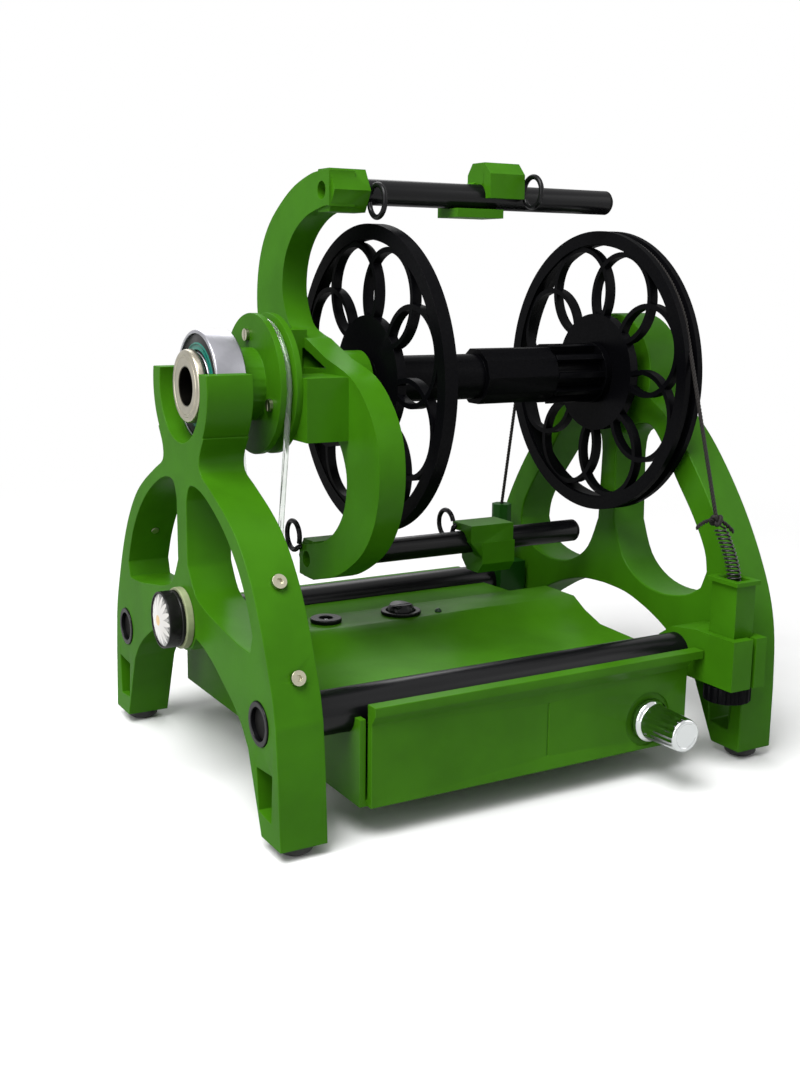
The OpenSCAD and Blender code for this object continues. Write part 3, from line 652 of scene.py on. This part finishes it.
def even(path: np.ndarray, step: float) -> np.ndarray:
    """Spaces points evenly along a path, by linear interpolation on its length."""
    run = path_run(path)
    at = np.linspace(0, run[-1], max(3, int(run[-1] / step) + 1))
    return np.stack([np.interp(at, run, path[:, k]) for k in range(3)], -1)


def rounded_profile(corners: Sequence[Triple],
                    steps: int = 4) -> np.ndarray:
    """Rounds the corners of an outline.

    Each corner is cut back by its own size along both edges and the cut is a quadratic curve
    with the corner as its middle point.

    Args:
        corners: x, y and cut-back, in one unit.
        steps: points on each rounded corner.
    """
    t = np.linspace(0, 1, steps)[:, None]
    points = []
    for k, (x, y, cut) in enumerate(corners):
        here = np.array([x, y])
        if cut <= 0:
            points.append(here[None])
            continue
        ends = []
        for other in (corners[k - 1], corners[(k + 1) % len(corners)]):
            away = np.array(other[:2]) - here
            ends.append(here + away * min(0.5, cut / np.linalg.norm(away)))
        points.append((1 - t) ** 2 * ends[0] + 2 * t * (1 - t) * here + t ** 2 * ends[1])
    return np.concatenate(points)


def lathe(name: str, profile: np.ndarray, z: float, sides: int = 96,
          closed: bool = True) -> Mesh:
    """Turns an outline about a line along X: (x, r cos t, z + r sin t).

    Args:
        name: the mesh's name.
        profile: x and the radius r in drawing millimetres, shape (n, 2).
        z: the line's height; its y is 0.
        sides: points round the line.
        closed: whether the outline's end joins its start, as a ring's does.
    """
    t = full_turn(sides)[None, :]
    x, r = profile[:, 0][:, None], profile[:, 1][:, None]
    points = np.stack([x + 0 * t, r * np.cos(t), z + r * np.sin(t)], -1)
    return closed_up(grid_mesh(name, place(points), wrap_u=closed, caps=False))


# Pieces


def put(name: str, data: Any) -> Object:
    """Makes an object of some data and adds it to the scene."""
    made = bpy.data.objects.new(name, data)
    bpy.context.scene.collection.objects.link(made)
    return made


class Bench:
    """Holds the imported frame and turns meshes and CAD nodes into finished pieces."""

    def __init__(self, frame: dict) -> None:
        """Looks up each CAD node's body and material slot."""
        self.nodes = frame["nodes"]
        self.slots = {s["node"]: s["material_slot"] for s in frame["record"]["subparts"]}
        self.made: list[str] = []

    def body(self, node: str) -> str:
        """Returns the name of the body that carries a node."""
        return self.nodes[node]["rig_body"]

    def piece(self, name: str, mesh: Mesh, node: str, material: Material,
              stands_for: Optional[Sequence[str]] = None, body: Optional[str] = None,
              sharp: float = 40.0) -> Object:
        """Finishes one new piece.

        Args:
            name: the piece's name.
            mesh: its mesh, in place.
            node: the CAD node whose body it takes.
            material: its finish.
            stands_for: CAD nodes that it replaces; by default its own node.
            body: another body to ride on.
            sharp: edges over this many degrees stay sharp.
        """
        mesh.shade_smooth()
        mesh.set_sharp_from_angle(angle=math.radians(sharp))
        mesh.materials.clear()
        mesh.materials.append(material)
        made = put(name, mesh)
        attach(made, body or self.body(node))
        if stands_for is None:
            stands_for = (node,)
        if stands_for:
            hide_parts(*stands_for)
        self.made.append(name)
        LOG.info("%s rides on %s", name, body or self.body(node))
        return made

    def eased(self, node: str, width: float, material: Material) -> None:
        """Replaces a CAD node with a merged copy whose edges are eased.

        Args:
            node: the CAD node.
            width: the width of the eased edge, millimetres.
            material: its finish.
        """
        same_point, no_length = 0.002 * MM, 0.001 * MM
        flat, blunt = math.radians(0.3), math.radians(32.0)
        bm = bmesh.new()
        bm.from_mesh(self.nodes[node].data)
        bmesh.ops.remove_doubles(bm, verts=bm.verts, dist=same_point)
        bmesh.ops.dissolve_degenerate(bm, edges=bm.edges, dist=no_length)
        bmesh.ops.dissolve_limit(bm, angle_limit=flat, verts=bm.verts, edges=bm.edges)
        mesh = bpy.data.meshes.new(f"{node}_eased")
        bm.to_mesh(mesh)
        bm.free()
        made = self.piece(f"{node}_eased", mesh, node, material)
        bevel = made.modifiers.new("eased_edges", "BEVEL")
        bevel.width = width * MM
        bevel.segments = 2
        bevel.limit_method = "ANGLE"
        bevel.angle_limit = blunt
        bevel.harden_normals = True
        bevel.miter_outer = "MITER_ARC"

    def dress(self, node: str, material: Material) -> None:
        """Gives a CAD node a better material."""
        data = self.nodes[node].data
        data.materials.clear()
        data.materials.append(material)
        LOG.info("%s dressed as %s", node, material.name)


# Sub-assemblies; their sizes are drawing millimetres


@dataclass
class Printed:
    """The green and black printed pieces.

    A tone has its colour, its roughness and its coat. A piece has its tone, the direction of
    its layers and the width of its eased edges.
    """

    tones: dict[str, tuple[Colour, float, float]] = field(default_factory=lambda: {
        "green": ((0.040, 0.160, 0.004), 0.42, 0.14),
        "lighter": ((0.044, 0.164, 0.005), 0.42, 0.14),
        # A darker copy of the green as painted shade, used for the cord anchor.
        "deep": ((0.008, 0.055, 0.004), 0.42, 0.14),
        "black": ((0.0021, 0.0021, 0.0027), 0.36, 0.05),
    })
    edges: dict[str, tuple[str, Grain, float]] = field(default_factory=lambda: {
        "front_frame": ("green", Grain.X, 0.7), "rear_frame": ("green", Grain.X, 0.7),
        "flyer_plate": ("green", Grain.X, 0.6), "whorl": ("green", Grain.X, 0.3),
        "motor_pulley": ("green", Grain.X, 0.25),
        "housing_tray": ("lighter", Grain.Z, 0.4), "housing_cover": ("lighter", Grain.Z, 0.4),
        "control_panel": ("lighter", Grain.Z, 0.35),
        "upper_clip": ("green", Grain.X, 0.5), "lower_clip": ("green", Grain.X, 0.5),
        "tension_clamp": ("green", Grain.Z, 0.6), "tension_post": ("green", Grain.Z, 0.35),
        # The cord anchor takes the green darkened as painted shade.
        "cord_anchor": ("deep", Grain.Z, 0.5),
        "bobbin_front_flange": ("black", Grain.X, 0.35),
        "bobbin_rear_flange": ("black", Grain.X, 0.3),
        "bobbin_core": ("black", Grain.X, 0.3), "thumb_wheel": ("black", Grain.Z, 0.25),
    })

    def build(self, bench: Bench) -> None:
        """Eases the edges of every printed piece and gives it its layers."""
        finishes: dict[tuple[str, Grain], Material] = {}
        for node, (tone, grain, width) in self.edges.items():
            key = (tone, grain)
            if key not in finishes:
                colour, rough, coat = self.tones[tone]
                finishes[key] = PrintedPlastic(f"printed_{tone}_{grain.name.lower()}",
                                               colour, grain, rough, coat=coat).material()
            bench.eased(node, width, finishes[key])


@dataclass
class Fittings:
    """Bought-in pieces: tubes, screws, feet, the inlet, the switch and the bearings' rings."""

    tube: SmoothPlastic = SmoothPlastic("black_tube_wall", (0.0030, 0.0030, 0.0036),
                                        roughness=0.32, streak=(0.06, 1, 1), coat=0.36)
    moulded: SmoothPlastic = SmoothPlastic("moulded_black", (0.0032, 0.0032, 0.0036))
    plug: SmoothPlastic = SmoothPlastic("plug_black", (0.005, 0.0048, 0.0045),
                                        roughness=0.50, coat=0.12)
    steel: TurnedMetal = TurnedMetal("turned_steel", (0.40, 0.41, 0.42), roughness=0.24)
    zinc: TurnedMetal = TurnedMetal("zinc_screw", (0.46, 0.44, 0.33), roughness=0.28)
    can: TurnedMetal = TurnedMetal("motor_can", (0.34, 0.35, 0.37), roughness=0.34)

    def build(self, bench: Bench) -> None:
        """Eases the edges of the pieces in sight and dresses the rest."""
        for finish, edges in (
                (self.tube, {"near_rod": 0.35, "far_rod": 0.35, "upper_tube": 0.2,
                             "lower_tube": 0.2}),
                (self.plug, {"rod_plugs": 0.5, "tube_caps": 0.3}),
                (self.moulded, {"switch_bezel": 0.5, "switch_rocker": 0.35, "dc_jack": 0.6}),
                (self.zinc, {"leg_screws": 0.2, "whorl_screws": 0.2, "motor_screws": 0.2}),
                (Rubber("foot_rubber"), {"rubber_feet": 0.5})):
            material = finish.material()
            for node, width in edges.items():
                bench.eased(node, width, material)
        board = PrintedPlastic("board_green", (0.01, 0.085, 0.035), Grain.Z,
                               roughness=0.35)
        for finish, nodes in (
                (self.steel, ("pot_shaft", "jack_pin", "motor_shaft", "spindle_shaft",
                              "tension_screw", "rear_bearing_outer", "rear_bearing_inner")),
                (self.can, ("potentiometer", "motor_body")),
                (board, ("circuit_board",)),
                (SmoothPlastic("bushing_cream", (0.62, 0.58, 0.46), roughness=0.4),
                 ("bobbin_bushings",)),
                (SmoothPlastic("lamp_lens", (0.015, 0.045, 0.02), roughness=0.08),
                 ("indicator_led",))):
            material = finish.material()
            for node in nodes:
                bench.dress(node, material)


@dataclass
class FrontBearing:
    """The open ball bearing in the front frame's cradle, with the spindle's bushing."""

    start: float = -105.0
    width: float = 12.0
    outer_r: float = 21.0
    outer_bore: float = 17.4
    inner_r: float = 12.8
    inner_bore: float = 10.0
    seal_in: float = 13.2
    rim: float = 1.4
    recess: float = 1.9
    flange_start: float = -109.6
    bore: float = 7.25

    def ring(self, name: str, inner: float, outer: float, ease: float,
             lip: float = 0.0) -> Mesh:
        """Turns one ring with eased corners.

        Args:
            name: the mesh's name.
            inner: its bore's radius.
            outer: its outside radius.
            ease: how far its corners are cut back.
            lip: width of the rim in front of a recess; 0 for a plain face.
        """
        a, b = self.start, self.start + self.width
        front = [(a, outer, ease)]
        if lip:
            front += [(a, outer - lip, 0.25), (a + self.recess, outer - lip, 0)]
        start = a + self.recess if lip else a
        profile = rounded_profile([(start, inner, 0 if lip else ease), (b, inner, ease),
                                   (b, outer, ease), *front])
        return lathe(name, profile, AXIS_Z, sides=128)

    def seal(self) -> Mesh:
        """Turns the seal: a raised band inside, and a low flat under the ring's rim in black
        painted shade.
        """
        a = self.start + 0.35
        lo, hi = self.seal_in, self.outer_r - self.rim - 0.06
        mid = self.outer_bore - 1.2
        front = [(a + 0.5, lo), (a + 0.05, lo + 0.25), (a, lo + 0.7), (a + 0.25, lo + 1.0),
                 (a + 0.3, mid - 0.8), (a, mid - 0.5), (a + 0.1, mid - 0.15),
                 (a + 0.3, mid + 0.05), (a + 0.3, hi - 0.4), (a + 0.6, hi)]
        back = [(a + 1.4, hi), (a + 1.4, lo)]
        return lathe("seal", np.array(front + back), AXIS_Z, sides=128)

    def bushing(self) -> Mesh:
        """Turns the bushing: a flange with a rounded rim and a bore with a flared mouth."""
        a = self.flange_start
        profile = rounded_profile([
            (a + 0.5, self.bore, 0), (a, self.bore + 0.75, 0.3), (a, 10.6, 0.15),
            (a + 0.35, 10.9, 0.1), (a + 0.35, 11.5, 0.1), (a, 11.8, 0.15), (a, 13.6, 0.9),
            (a + 3.4, 14.0, 0.9), (a + 4.4, 11.5, 0.4), (a + 4.4, 9.95, 0.0),
            (a + 24.6, 9.95, 0.3), (a + 24.6, self.bore, 0.3)])
        return lathe("bushing", profile, AXIS_Z, sides=128)

    def seal_finish(self) -> Material:
        """Colours the seal by distance from the axis: black, teal, then black again as painted
        shade.
        """
        graph = Graph("bearing_seal")
        _, y, z = graph.axes()
        radius = (y - SHIFT[1] * MM).reach(z - AXIS_Z * MM)
        wear = graph.noise(500)
        teal = graph.mix(wear, (0.002, 0.10, 0.075), (0.006, 0.17, 0.125))
        black = (0.003, 0.003, 0.003)
        # Past this radius the black is painted shade in the recess under the outer ring's rim.
        edge = self.outer_bore - 1.15
        colour = graph.mix(radius.step((self.seal_in + 0.3) * MM, (self.seal_in + 0.5) * MM),
                           black, teal)
        colour = graph.mix(radius.step((edge - 0.1) * MM, (edge + 0.1) * MM), colour, black)
        return graph.surface(Base_Color=colour, Roughness=wear * 0.15 + 0.24,
                             Specular_IOR_Level=0.25)

    def build(self, bench: Bench) -> None:
        """Makes the rings, the seal and the bushing."""
        steel = TurnedMetal("bearing_steel", (0.36, 0.36, 0.39), roughness=0.30).material()
        # The bushing's bore is darkened as painted shade.
        brass = TurnedMetal("bushing_metal", (0.38, 0.355, 0.28), roughness=0.30,
                            bore=(self.bore + 0.15) * MM).material()
        bench.piece("front_outer_ring",
                    self.ring("outer", self.outer_bore, self.outer_r, 0.7, self.rim),
                    "front_bearing_outer", steel)
        bench.piece("front_inner_ring", self.ring("inner", self.inner_bore, self.inner_r, 0.5),
                    "front_bearing_inner", steel)
        bench.piece("front_seal", self.seal(), "front_bearing_seal", self.seal_finish(),
                    sharp=60)
        bench.piece("orifice_sleeve", self.bushing(), "orifice_bushing", brass)


@dataclass
class Eyes:
    """The wire rings that guide the yarn: two fixed and one on each sliding clip."""

    ring_r: float = 6.0
    wire_r: float = 1.05
    tube_axis: tuple[float, float] = (-7.0, 73.0)
    beside: float = 6.5
    lip_stem: tuple[float, float] = (-11.5, 66.3)

    def eye(self, x_stem: float, x_loop: float, at: tuple[float, float], off: float,
            turn: float, side: int) -> Mesh:
        """Bends one eye: a stem along X, then a ring across it that hangs below the stem.

        The ring's points are centre + ring_r (sin a, -cos a) for a from 180 to 520 degrees.
        The whole eye is then turned about a line along X. The lower arm's eyes get half a
        turn about the spindle as well.

        Args:
            x_stem: where the stem starts.
            x_loop: the ring's plane.
            at: y and z of the line that the eye is turned about, from the spindle axis.
            off: distance of the stem below that line before the turn.
            turn: the turn, degrees.
            side: 1 for the upper arm, -1 for the lower.
        """
        a = np.radians(np.linspace(180, 520, 74))
        bend = x_loop - math.copysign(1.0, x_loop - x_stem)
        ring = np.stack([np.full_like(a, x_loop), self.ring_r * np.sin(a),
                         -self.ring_r * (np.cos(a) + 1) - off], -1)
        stem = np.stack([np.linspace(x_stem, bend, 6), np.zeros(6), np.full(6, -off)], -1)
        line = np.concatenate([stem, ring[2:]])
        c, s = math.cos(math.radians(turn)), math.sin(math.radians(turn))
        y, z = line[:, 1] * c - line[:, 2] * s, line[:, 1] * s + line[:, 2] * c
        line[:, 1], line[:, 2] = (y + at[0]) * side, (z + at[1]) * side + AXIS_Z
        return tube("eye", place(line), self.wire_r * MM, sides=14, side=(0.3, 0.9, 0.1))

    def build(self, bench: Bench) -> None:
        """Makes the fixed pair as one piece and each clip's eye as its own."""
        wire = SmoothPlastic("dark_wire", (0.004, 0.004, 0.0045)).material()
        on_tube = {"at": self.tube_axis, "off": self.beside}
        pair = [self.eye(x_stem=-42.5, x_loop=-38.3, **on_tube, turn=-72, side=1),
                self.eye(x_stem=-52.5, x_loop=-57.5, **on_tube, turn=-47, side=-1)]
        bench.piece("fixed_eyes", joined("fixed_eyes", pair), "fixed_hooks", wire, sharp=70)
        upper = self.eye(x_stem=27.5, x_loop=33.2, **on_tube, turn=-100, side=1)
        lower = self.eye(x_stem=23.7, x_loop=18.0, at=self.lip_stem, off=0.0, turn=-90,
                         side=-1)
        for node, mesh in (("upper_clip_hook", upper), ("lower_clip_hook", lower)):
            bench.piece(node.replace("_hook", "_eye"), mesh, node, wire, sharp=70)


@dataclass
class Cords:
    """The clear drive band, the black brake cord with its knot, and the pull spring."""

    groove_x: float = -78.0
    whorl_r: float = 24.5
    pulley_r: float = 5.5
    motor_z: float = 33.0
    band_r: float = 1.1
    brake_x: float = 86.5
    brake_r: float = 59.9
    cord_r: float = 0.8
    cord_step: float = 0.35
    lay: float = 4.5
    anchor: Triple = (84.5, 71.0, 84.0)
    post: tuple[float, float] = (84.5, -93.0)
    tie: Triple = (77.5, -88.5, 103.1)
    spring_z: float = 59.5
    mouth_z: float = 79.0
    spring_r: float = 2.5
    wire_r: float = 0.4
    turns: int = 25
    pitch: float = 1.6
    knot_size: float = 0.66
    knot_depth: float = 1.5
    knot_cord_r: float = 0.92
    tail_r: float = 0.85
    tail_lay: float = 3.6
    tails: tuple[tuple[float, float, float, float], ...] = (
        (-12.5, -2.5, -1.6, 0.9), (8.0, -1.5, -5.2, 1.2))

    def band(self) -> Mesh:
        """Runs the band round the whorl and the pulley: two arcs joined by straight runs.

        The runs lean by asin((whorl_r - pulley_r) / distance), so they leave both wheels
        at a tangent.
        """
        lean = math.asin((self.whorl_r - self.pulley_r) / (AXIS_Z - self.motor_z))
        top = np.linspace(-lean, math.pi + lean, 72)
        low = np.linspace(math.pi + lean, 2 * math.pi - lean, 28)
        over, under = (np.stack([np.cos(a) * r, z + np.sin(a) * r], -1)
                       for a, r, z in ((top, self.whorl_r, AXIS_Z),
                                       (low, self.pulley_r, self.motor_z)))
        down = np.linspace(over[-1], under[0], 22)[1:-1]
        up = np.linspace(under[-1], over[0], 22)[1:-1]
        yz = np.concatenate([over, down, under, up])
        line = np.column_stack([np.full(len(yz), self.groove_x), yz])
        return tube("band", place(line), self.band_r * MM, closed=True)

    def cord_line(self) -> np.ndarray:
        """Runs the cord from the anchor over the rear flange down to the knot.

        Each straight run meets the flange's circle at a tangent: the touching point lies at
        the end point's own direction plus or minus acos(brake_r / distance).
        """
        def touch(y: float, z: float, sign: int) -> float:
            """Returns the touching point's angle for an end point."""
            d = math.hypot(y, z - AXIS_Z)
            return math.atan2(z - AXIS_Z, y) + sign * math.acos(self.brake_r / d)

        ax, ay, az = self.anchor
        far = touch(ay, az, 1)
        near = touch(self.tie[1], self.tie[2], -1) % (2 * math.pi)
        a = np.linspace(far, near, 90)
        arc = np.column_stack([np.full(90, self.brake_x), self.brake_r * np.cos(a),
                               AXIS_Z + self.brake_r * np.sin(a)])
        start = np.array([[ax, ay, az - 4], [ax, ay, az]])
        end = np.array([self.tie])
        return np.concatenate([start, arc, end])

    def knot(self) -> Mesh:
        """Ties the cord: an overhand knot's line, a trefoil pulled small, with two tails.

        The trefoil is (sin t + 2 sin 2t, cos t - 2 cos 2t, -sin 3t), scaled to the cord.
        Each tail runs to its own dx, dy and dz from the knot and bows up by its rise.
        """
        t = np.linspace(0, 2 * np.pi, 90)
        trefoil = np.stack([self.knot_size * (np.sin(t) + 2 * np.sin(2 * t)),
                            self.knot_size * (np.cos(t) - 2 * np.cos(2 * t)),
                            -self.knot_depth * np.sin(3 * t)], -1)
        at = np.array(self.tie)
        ball = tube("knot", place(trefoil + at), self.knot_cord_r * MM, sides=10,
                    side=(0.1, 0.2, 1))
        s = np.linspace(0, 1, 24)[:, None]
        tails = []
        for dx, dy, dz, rise in self.tails:
            bow = np.array([0.0, 0.6, rise]) * (4 * s * (1 - s))
            line = at + s * np.array([dx, dy, dz]) + bow
            tails.append(twisted("tail", place(line), self.tail_r * MM,
                                 self.tail_lay * MM, plies=2, sides=7))
        return joined("knot_and_tails", [ball, *tails])

    def spring(self) -> Mesh:
        """Winds the spring as a helix with a hook bent up at its top.

        The radius shrinks over the last turn at each end. Above the post the spring's middle
        line leans towards the knot by u to the power 1.5, where u runs from 0 at the post's
        mouth to 1 at the knot.
        """
        k = np.linspace(0, self.turns, self.turns * 28 + 1)
        a = 2 * np.pi * k
        closing = np.clip(np.minimum(k, self.turns - k), 0, 1)
        z = self.spring_z + 0.4 + self.pitch * k
        r = self.spring_r * (0.82 + 0.18 * closing)
        lean = np.clip((z - self.mouth_z) / (self.tie[2] - self.mouth_z), 0, 1) ** 1.5
        x = self.post[0] + (self.tie[0] - self.post[0]) * lean
        y = self.post[1] + (self.tie[1] - self.post[1]) * lean
        line = np.stack([x + r * np.cos(a), y + r * np.sin(a), z], -1)
        hook = np.linspace(line[-1], np.array(self.tie) - [0, 0, 1.2], 10)[1:]
        return tube("spring", place(np.concatenate([line, hook])), self.wire_r * MM,
                    sides=10, side=(0, 0, 1))

    def build(self, bench: Bench) -> None:
        """Makes the band, the cord, the knot and the spring.

        The spring hangs from the knot, so it rides on the base.
        """
        bench.piece("drive_belt", self.band(), "drive_band",
                    ClearBand("clear_band").material())
        cord = TwistedCord("waxed_cord").material()
        line = even(place(self.cord_line()), self.cord_step * MM)
        plies = twisted("brake_line", line, self.cord_r * MM, self.lay * MM)
        bench.piece("brake_line", plies, "brake_cord", cord)
        bench.piece("brake_knot", self.knot(), "brake_cord", cord, stands_for=())
        wire = TurnedMetal("spring_wire", (0.045, 0.044, 0.045), roughness=0.32).material()
        made = bench.piece("pull_spring", self.spring(), "tension_spring", wire, body="base")
        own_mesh(made)


@dataclass
class SpeedKnob:
    """The plated knob: a collar, a fluted grip and a dished end."""

    x: float = 49.5
    z: float = 24.5
    panel_y: float = -86.0
    length: float = 23.0
    radius: float = 7.0
    flutes: int = 18
    flute_depth: float = 0.45

    def mesh(self) -> Mesh:
        """Shapes the knob as radius r(s) less a flute depth that varies round it.

        The outline s runs from the back of the collar to the middle of the end. Along the
        grip the radius is r(s) - depth |sin(flutes t / 2)| to the power 1.5, so the ribs
        between the flutes stay sharp.
        """
        r, n = self.radius, self.length
        outline = rounded_profile([
            (0.2, 0.0, 0), (0.2, r + 1.6, 0.3), (1.2, r + 1.9, 0.5), (3.6, r + 1.5, 0.7),
            (4.8, r + 0.2, 0.5), (n - 1.6, r - 0.35, 0), (n - 0.5, r - 0.6, 0.4),
            (n, r - 1.3, 0.35), (n, r - 2.0, 0.2), (n - 0.35, r - 2.3, 0.2),
            (n - 0.2, 0.0, 0)], steps=6)
        extra = []
        for p, q in zip(outline[:-1], outline[1:]):
            extra.append(p[None])
            if q[0] - p[0] > 4:
                extra.append(np.linspace(p, q, 16)[1:-1])
        outline = np.concatenate([*extra, outline[-1:]])
        s, base = outline[:, 0][:, None], outline[:, 1][:, None]
        t = full_turn(self.flutes * 12)[None, :]
        window = np.clip((s - 5.4) / 1.2, 0, 1) * np.clip((n - 1.2 - s) / 0.8, 0, 1)
        depth = self.flute_depth * window * (base > r - 1)
        rr = base - depth * np.abs(np.sin(self.flutes * t / 2)) ** 1.5
        points = np.stack([self.x + rr * np.cos(t), self.panel_y + 0.6 - s + 0 * t,
                           self.z + rr * np.sin(t)], -1)
        return closed_up(grid_mesh("knob", place(points), caps=False))

    def build(self, bench: Bench) -> None:
        """Makes the knob."""
        bench.piece("plated_knob", self.mesh(), "speed_knob",
                    BrightPlating("bright_plating").material(), sharp=50)


@dataclass
class Badge:
    """The domed round on the front frame's hub."""

    front_x: float = -112.0
    z: float = 66.0
    rim_r: float = 11.0
    lip: float = 0.75
    rim_height: float = 9.5
    dome_top: float = 10.55

    def rim(self) -> Mesh:
        """Turns the rim: a cup's wall with a thin rounded lip."""
        a, inner = self.front_x, self.rim_r - self.lip
        profile = rounded_profile([
            (a - 3.0, inner, 0), (a - 3.0, self.rim_r, 0.3), (a - 4.2, self.rim_r, 0.2),
            (a - 4.5, self.rim_r - 0.25, 0.1), (a - 4.8, self.rim_r, 0.2),
            (a - self.rim_height, self.rim_r, 0.35), (a - self.rim_height, inner, 0.25)])
        return lathe("rim", profile, self.z)

    def dome(self) -> Mesh:
        """Turns the dome: x = top - (top - edge) (r / radius)^2, closed behind."""
        a, inner = self.front_x, self.rim_r - self.lip
        edge = self.rim_height - 0.45
        r = np.linspace(inner, 0, 14)
        cap = a - self.dome_top + (self.dome_top - edge) * (r / inner) ** 2
        profile = np.concatenate([[[a - 6.0, 0], [a - 6.0, inner]], np.column_stack([cap, r])])
        return lathe("dome", profile, self.z, closed=False)

    def build(self, bench: Bench) -> None:
        """Dresses the base disc and makes the rim and the dome."""
        disc = SmoothPlastic("hub_disc", (0.24, 0.27, 0.15), roughness=0.5)
        bench.eased("badge_base", 0.5, disc.material())
        bench.piece("badge_hoop", self.rim(), "badge_rim",
                    SmoothPlastic("badge_black", (0.006, 0.006, 0.0055)).material())
        bench.piece("badge_flower", self.dome(), "badge_dome",
                    Rosette("flower_dome").material(), sharp=50)


# The studio


@dataclass
class Studio:
    """The camera at the photograph's viewing angle, the floor and the lamps.

    The camera's place, direction, roll and focal length, as a share of the photograph's
    height, were fitted to the photograph. A lamp has its place, its size and its watts.
    """

    eye: Triple = (-277.6, -452.2, 197.5)
    forward: Triple = (0.4908, 0.8486, -0.1976)
    roll: float = math.radians(0.66)
    sensor: float = 36.0
    focal_share: float = 1292.12 / 1067
    floor_size: float = 14.0
    floor_drop: float = 0.2 * MM
    fade: tuple[float, float] = (0.18, 0.75)
    room_light: float = 0.19
    lamps: dict[str, tuple[Triple, float, float]] = field(
        default_factory=lambda: {
            "key": ((-0.60, -0.35, 1.25), 0.9, 26.0),
            "left_fill": ((-1.75, -0.7, 0.6), 1.3, 11.0),
            "side_fill": ((1.2, -0.7, 0.7), 1.0, 3.2),
            "back_rim": ((0.4, 1.2, 1.0), 0.9, 8.0),
        })

    def camera(self) -> None:
        """Sets the camera: right = forward x up, then both turned by the roll."""
        forward = Vector(self.forward).normalized()
        right = forward.cross(Vector((0, 0, 1))).normalized()
        up = right.cross(forward)
        c, s = math.cos(self.roll), math.sin(self.roll)
        right, up = right * c + up * s, up * c - right * s
        data = bpy.data.cameras.new("view")
        data.lens = self.sensor * self.focal_share
        data.sensor_width = self.sensor
        data.clip_start, data.clip_end = 0.02, 60.0
        camera = put("view", data)
        matrix = Matrix((right, up, -forward)).transposed().to_4x4()
        matrix.translation = Vector(self.eye) * MM
        camera.matrix_world = matrix
        bpy.context.scene.camera = camera

    def lamp(self, name: str, at: Sequence[float], size: float, watts: float) -> None:
        """Hangs a square lamp that faces the object's middle.

        Args:
            name: the lamp's name.
            at: its place, metres.
            size: its side, metres.
            watts: its power.
        """
        data = bpy.data.lights.new(name, "AREA")
        data.size = size
        data.energy = watts
        lamp = put(name, data)
        lamp.location = at
        aim = Vector((0, 0, 0.11)) - Vector(at)
        lamp.rotation_euler = aim.to_track_quat("-Z", "Y").to_euler()

    def floor(self) -> None:
        """Lays a flat pale floor that keeps the shadow and fades to white far away.

        Only what the camera, mirrors and clear pieces see fades. For diffuse light the floor
        is a darker grey, as in a room whose walls are far off, so undersides stay dark.
        """
        h, z = self.floor_size / 2, -self.floor_drop
        mesh = bpy.data.meshes.new("floor")
        mesh.from_pydata([(-h, -h, z), (h, -h, z), (h, h, z), (-h, h, z)], [], [(0, 1, 2, 3)])
        graph = Graph("pale_floor")
        speck = graph.noise(30)

        def matt(low: float, high: float) -> NodeSocket:
            """Returns a dull shader between two greys."""
            grey = graph.mix(speck, (low, low, low), (high, high, high))
            return graph.node("ShaderNodeBsdfDiffuse", None, {"Color": grey}).outputs[0]

        rays = graph.node("ShaderNodeLightPath")
        x, y, _ = graph.axes()
        fade = x.reach(y).step(*self.fade)
        white = graph.node("ShaderNodeEmission", None, {"Color": (1.0, 1.0, 1.0)})
        near = graph.node("ShaderNodeMixShader", None,
                          {0: rays.outputs["Is Diffuse Ray"], 1: matt(0.88, 0.92),
                           2: matt(0.38, 0.42)})
        mesh.materials.append(graph.close(graph.node(
            "ShaderNodeMixShader", None,
            {0: graph.seen() * fade, 1: near.outputs[0], 2: white.outputs[0]})))
        floor = put("floor", mesh)

    def world(self) -> None:
        """Fills the room with white to look at and with softer light for the object.

        The camera, mirrors and clear pieces see the white.
        """
        graph = Graph("room", bpy.data.worlds.new("room"))
        strength = graph.node("ShaderNodeMapRange", None,
                              {0: graph.seen(), 3: self.room_light, 4: 1.0})
        sky = graph.node("ShaderNodeBackground", None,
                         {0: (1.0, 1.0, 1.0), 1: strength.outputs[0]})
        bpy.context.scene.world = graph.close(sky, "ShaderNodeOutputWorld")

    def build(self) -> None:
        """Sets the camera, the floor, the lamps and the room."""
        self.camera()
        self.floor()
        for name, (at, size, watts) in self.lamps.items():
            self.lamp(name, at, size, watts)
        self.world()
        bpy.context.scene.view_settings.view_transform = "Standard"


def main() -> None:
    """Loads the frame, dresses and adds the pieces, sets the studio and finishes."""
    logging.basicConfig(level=logging.INFO, format="%(message)s")
    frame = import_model()
    Studio().build()
    bench = Bench(frame)
    for part in (Printed(), Fittings(), FrontBearing(), Eyes(), Cords(), SpeedKnob(), Badge()):
        part.build(bench)
    LOG.info("%d pieces made", len(bench.made))


if __name__ == "__main__":
    main()
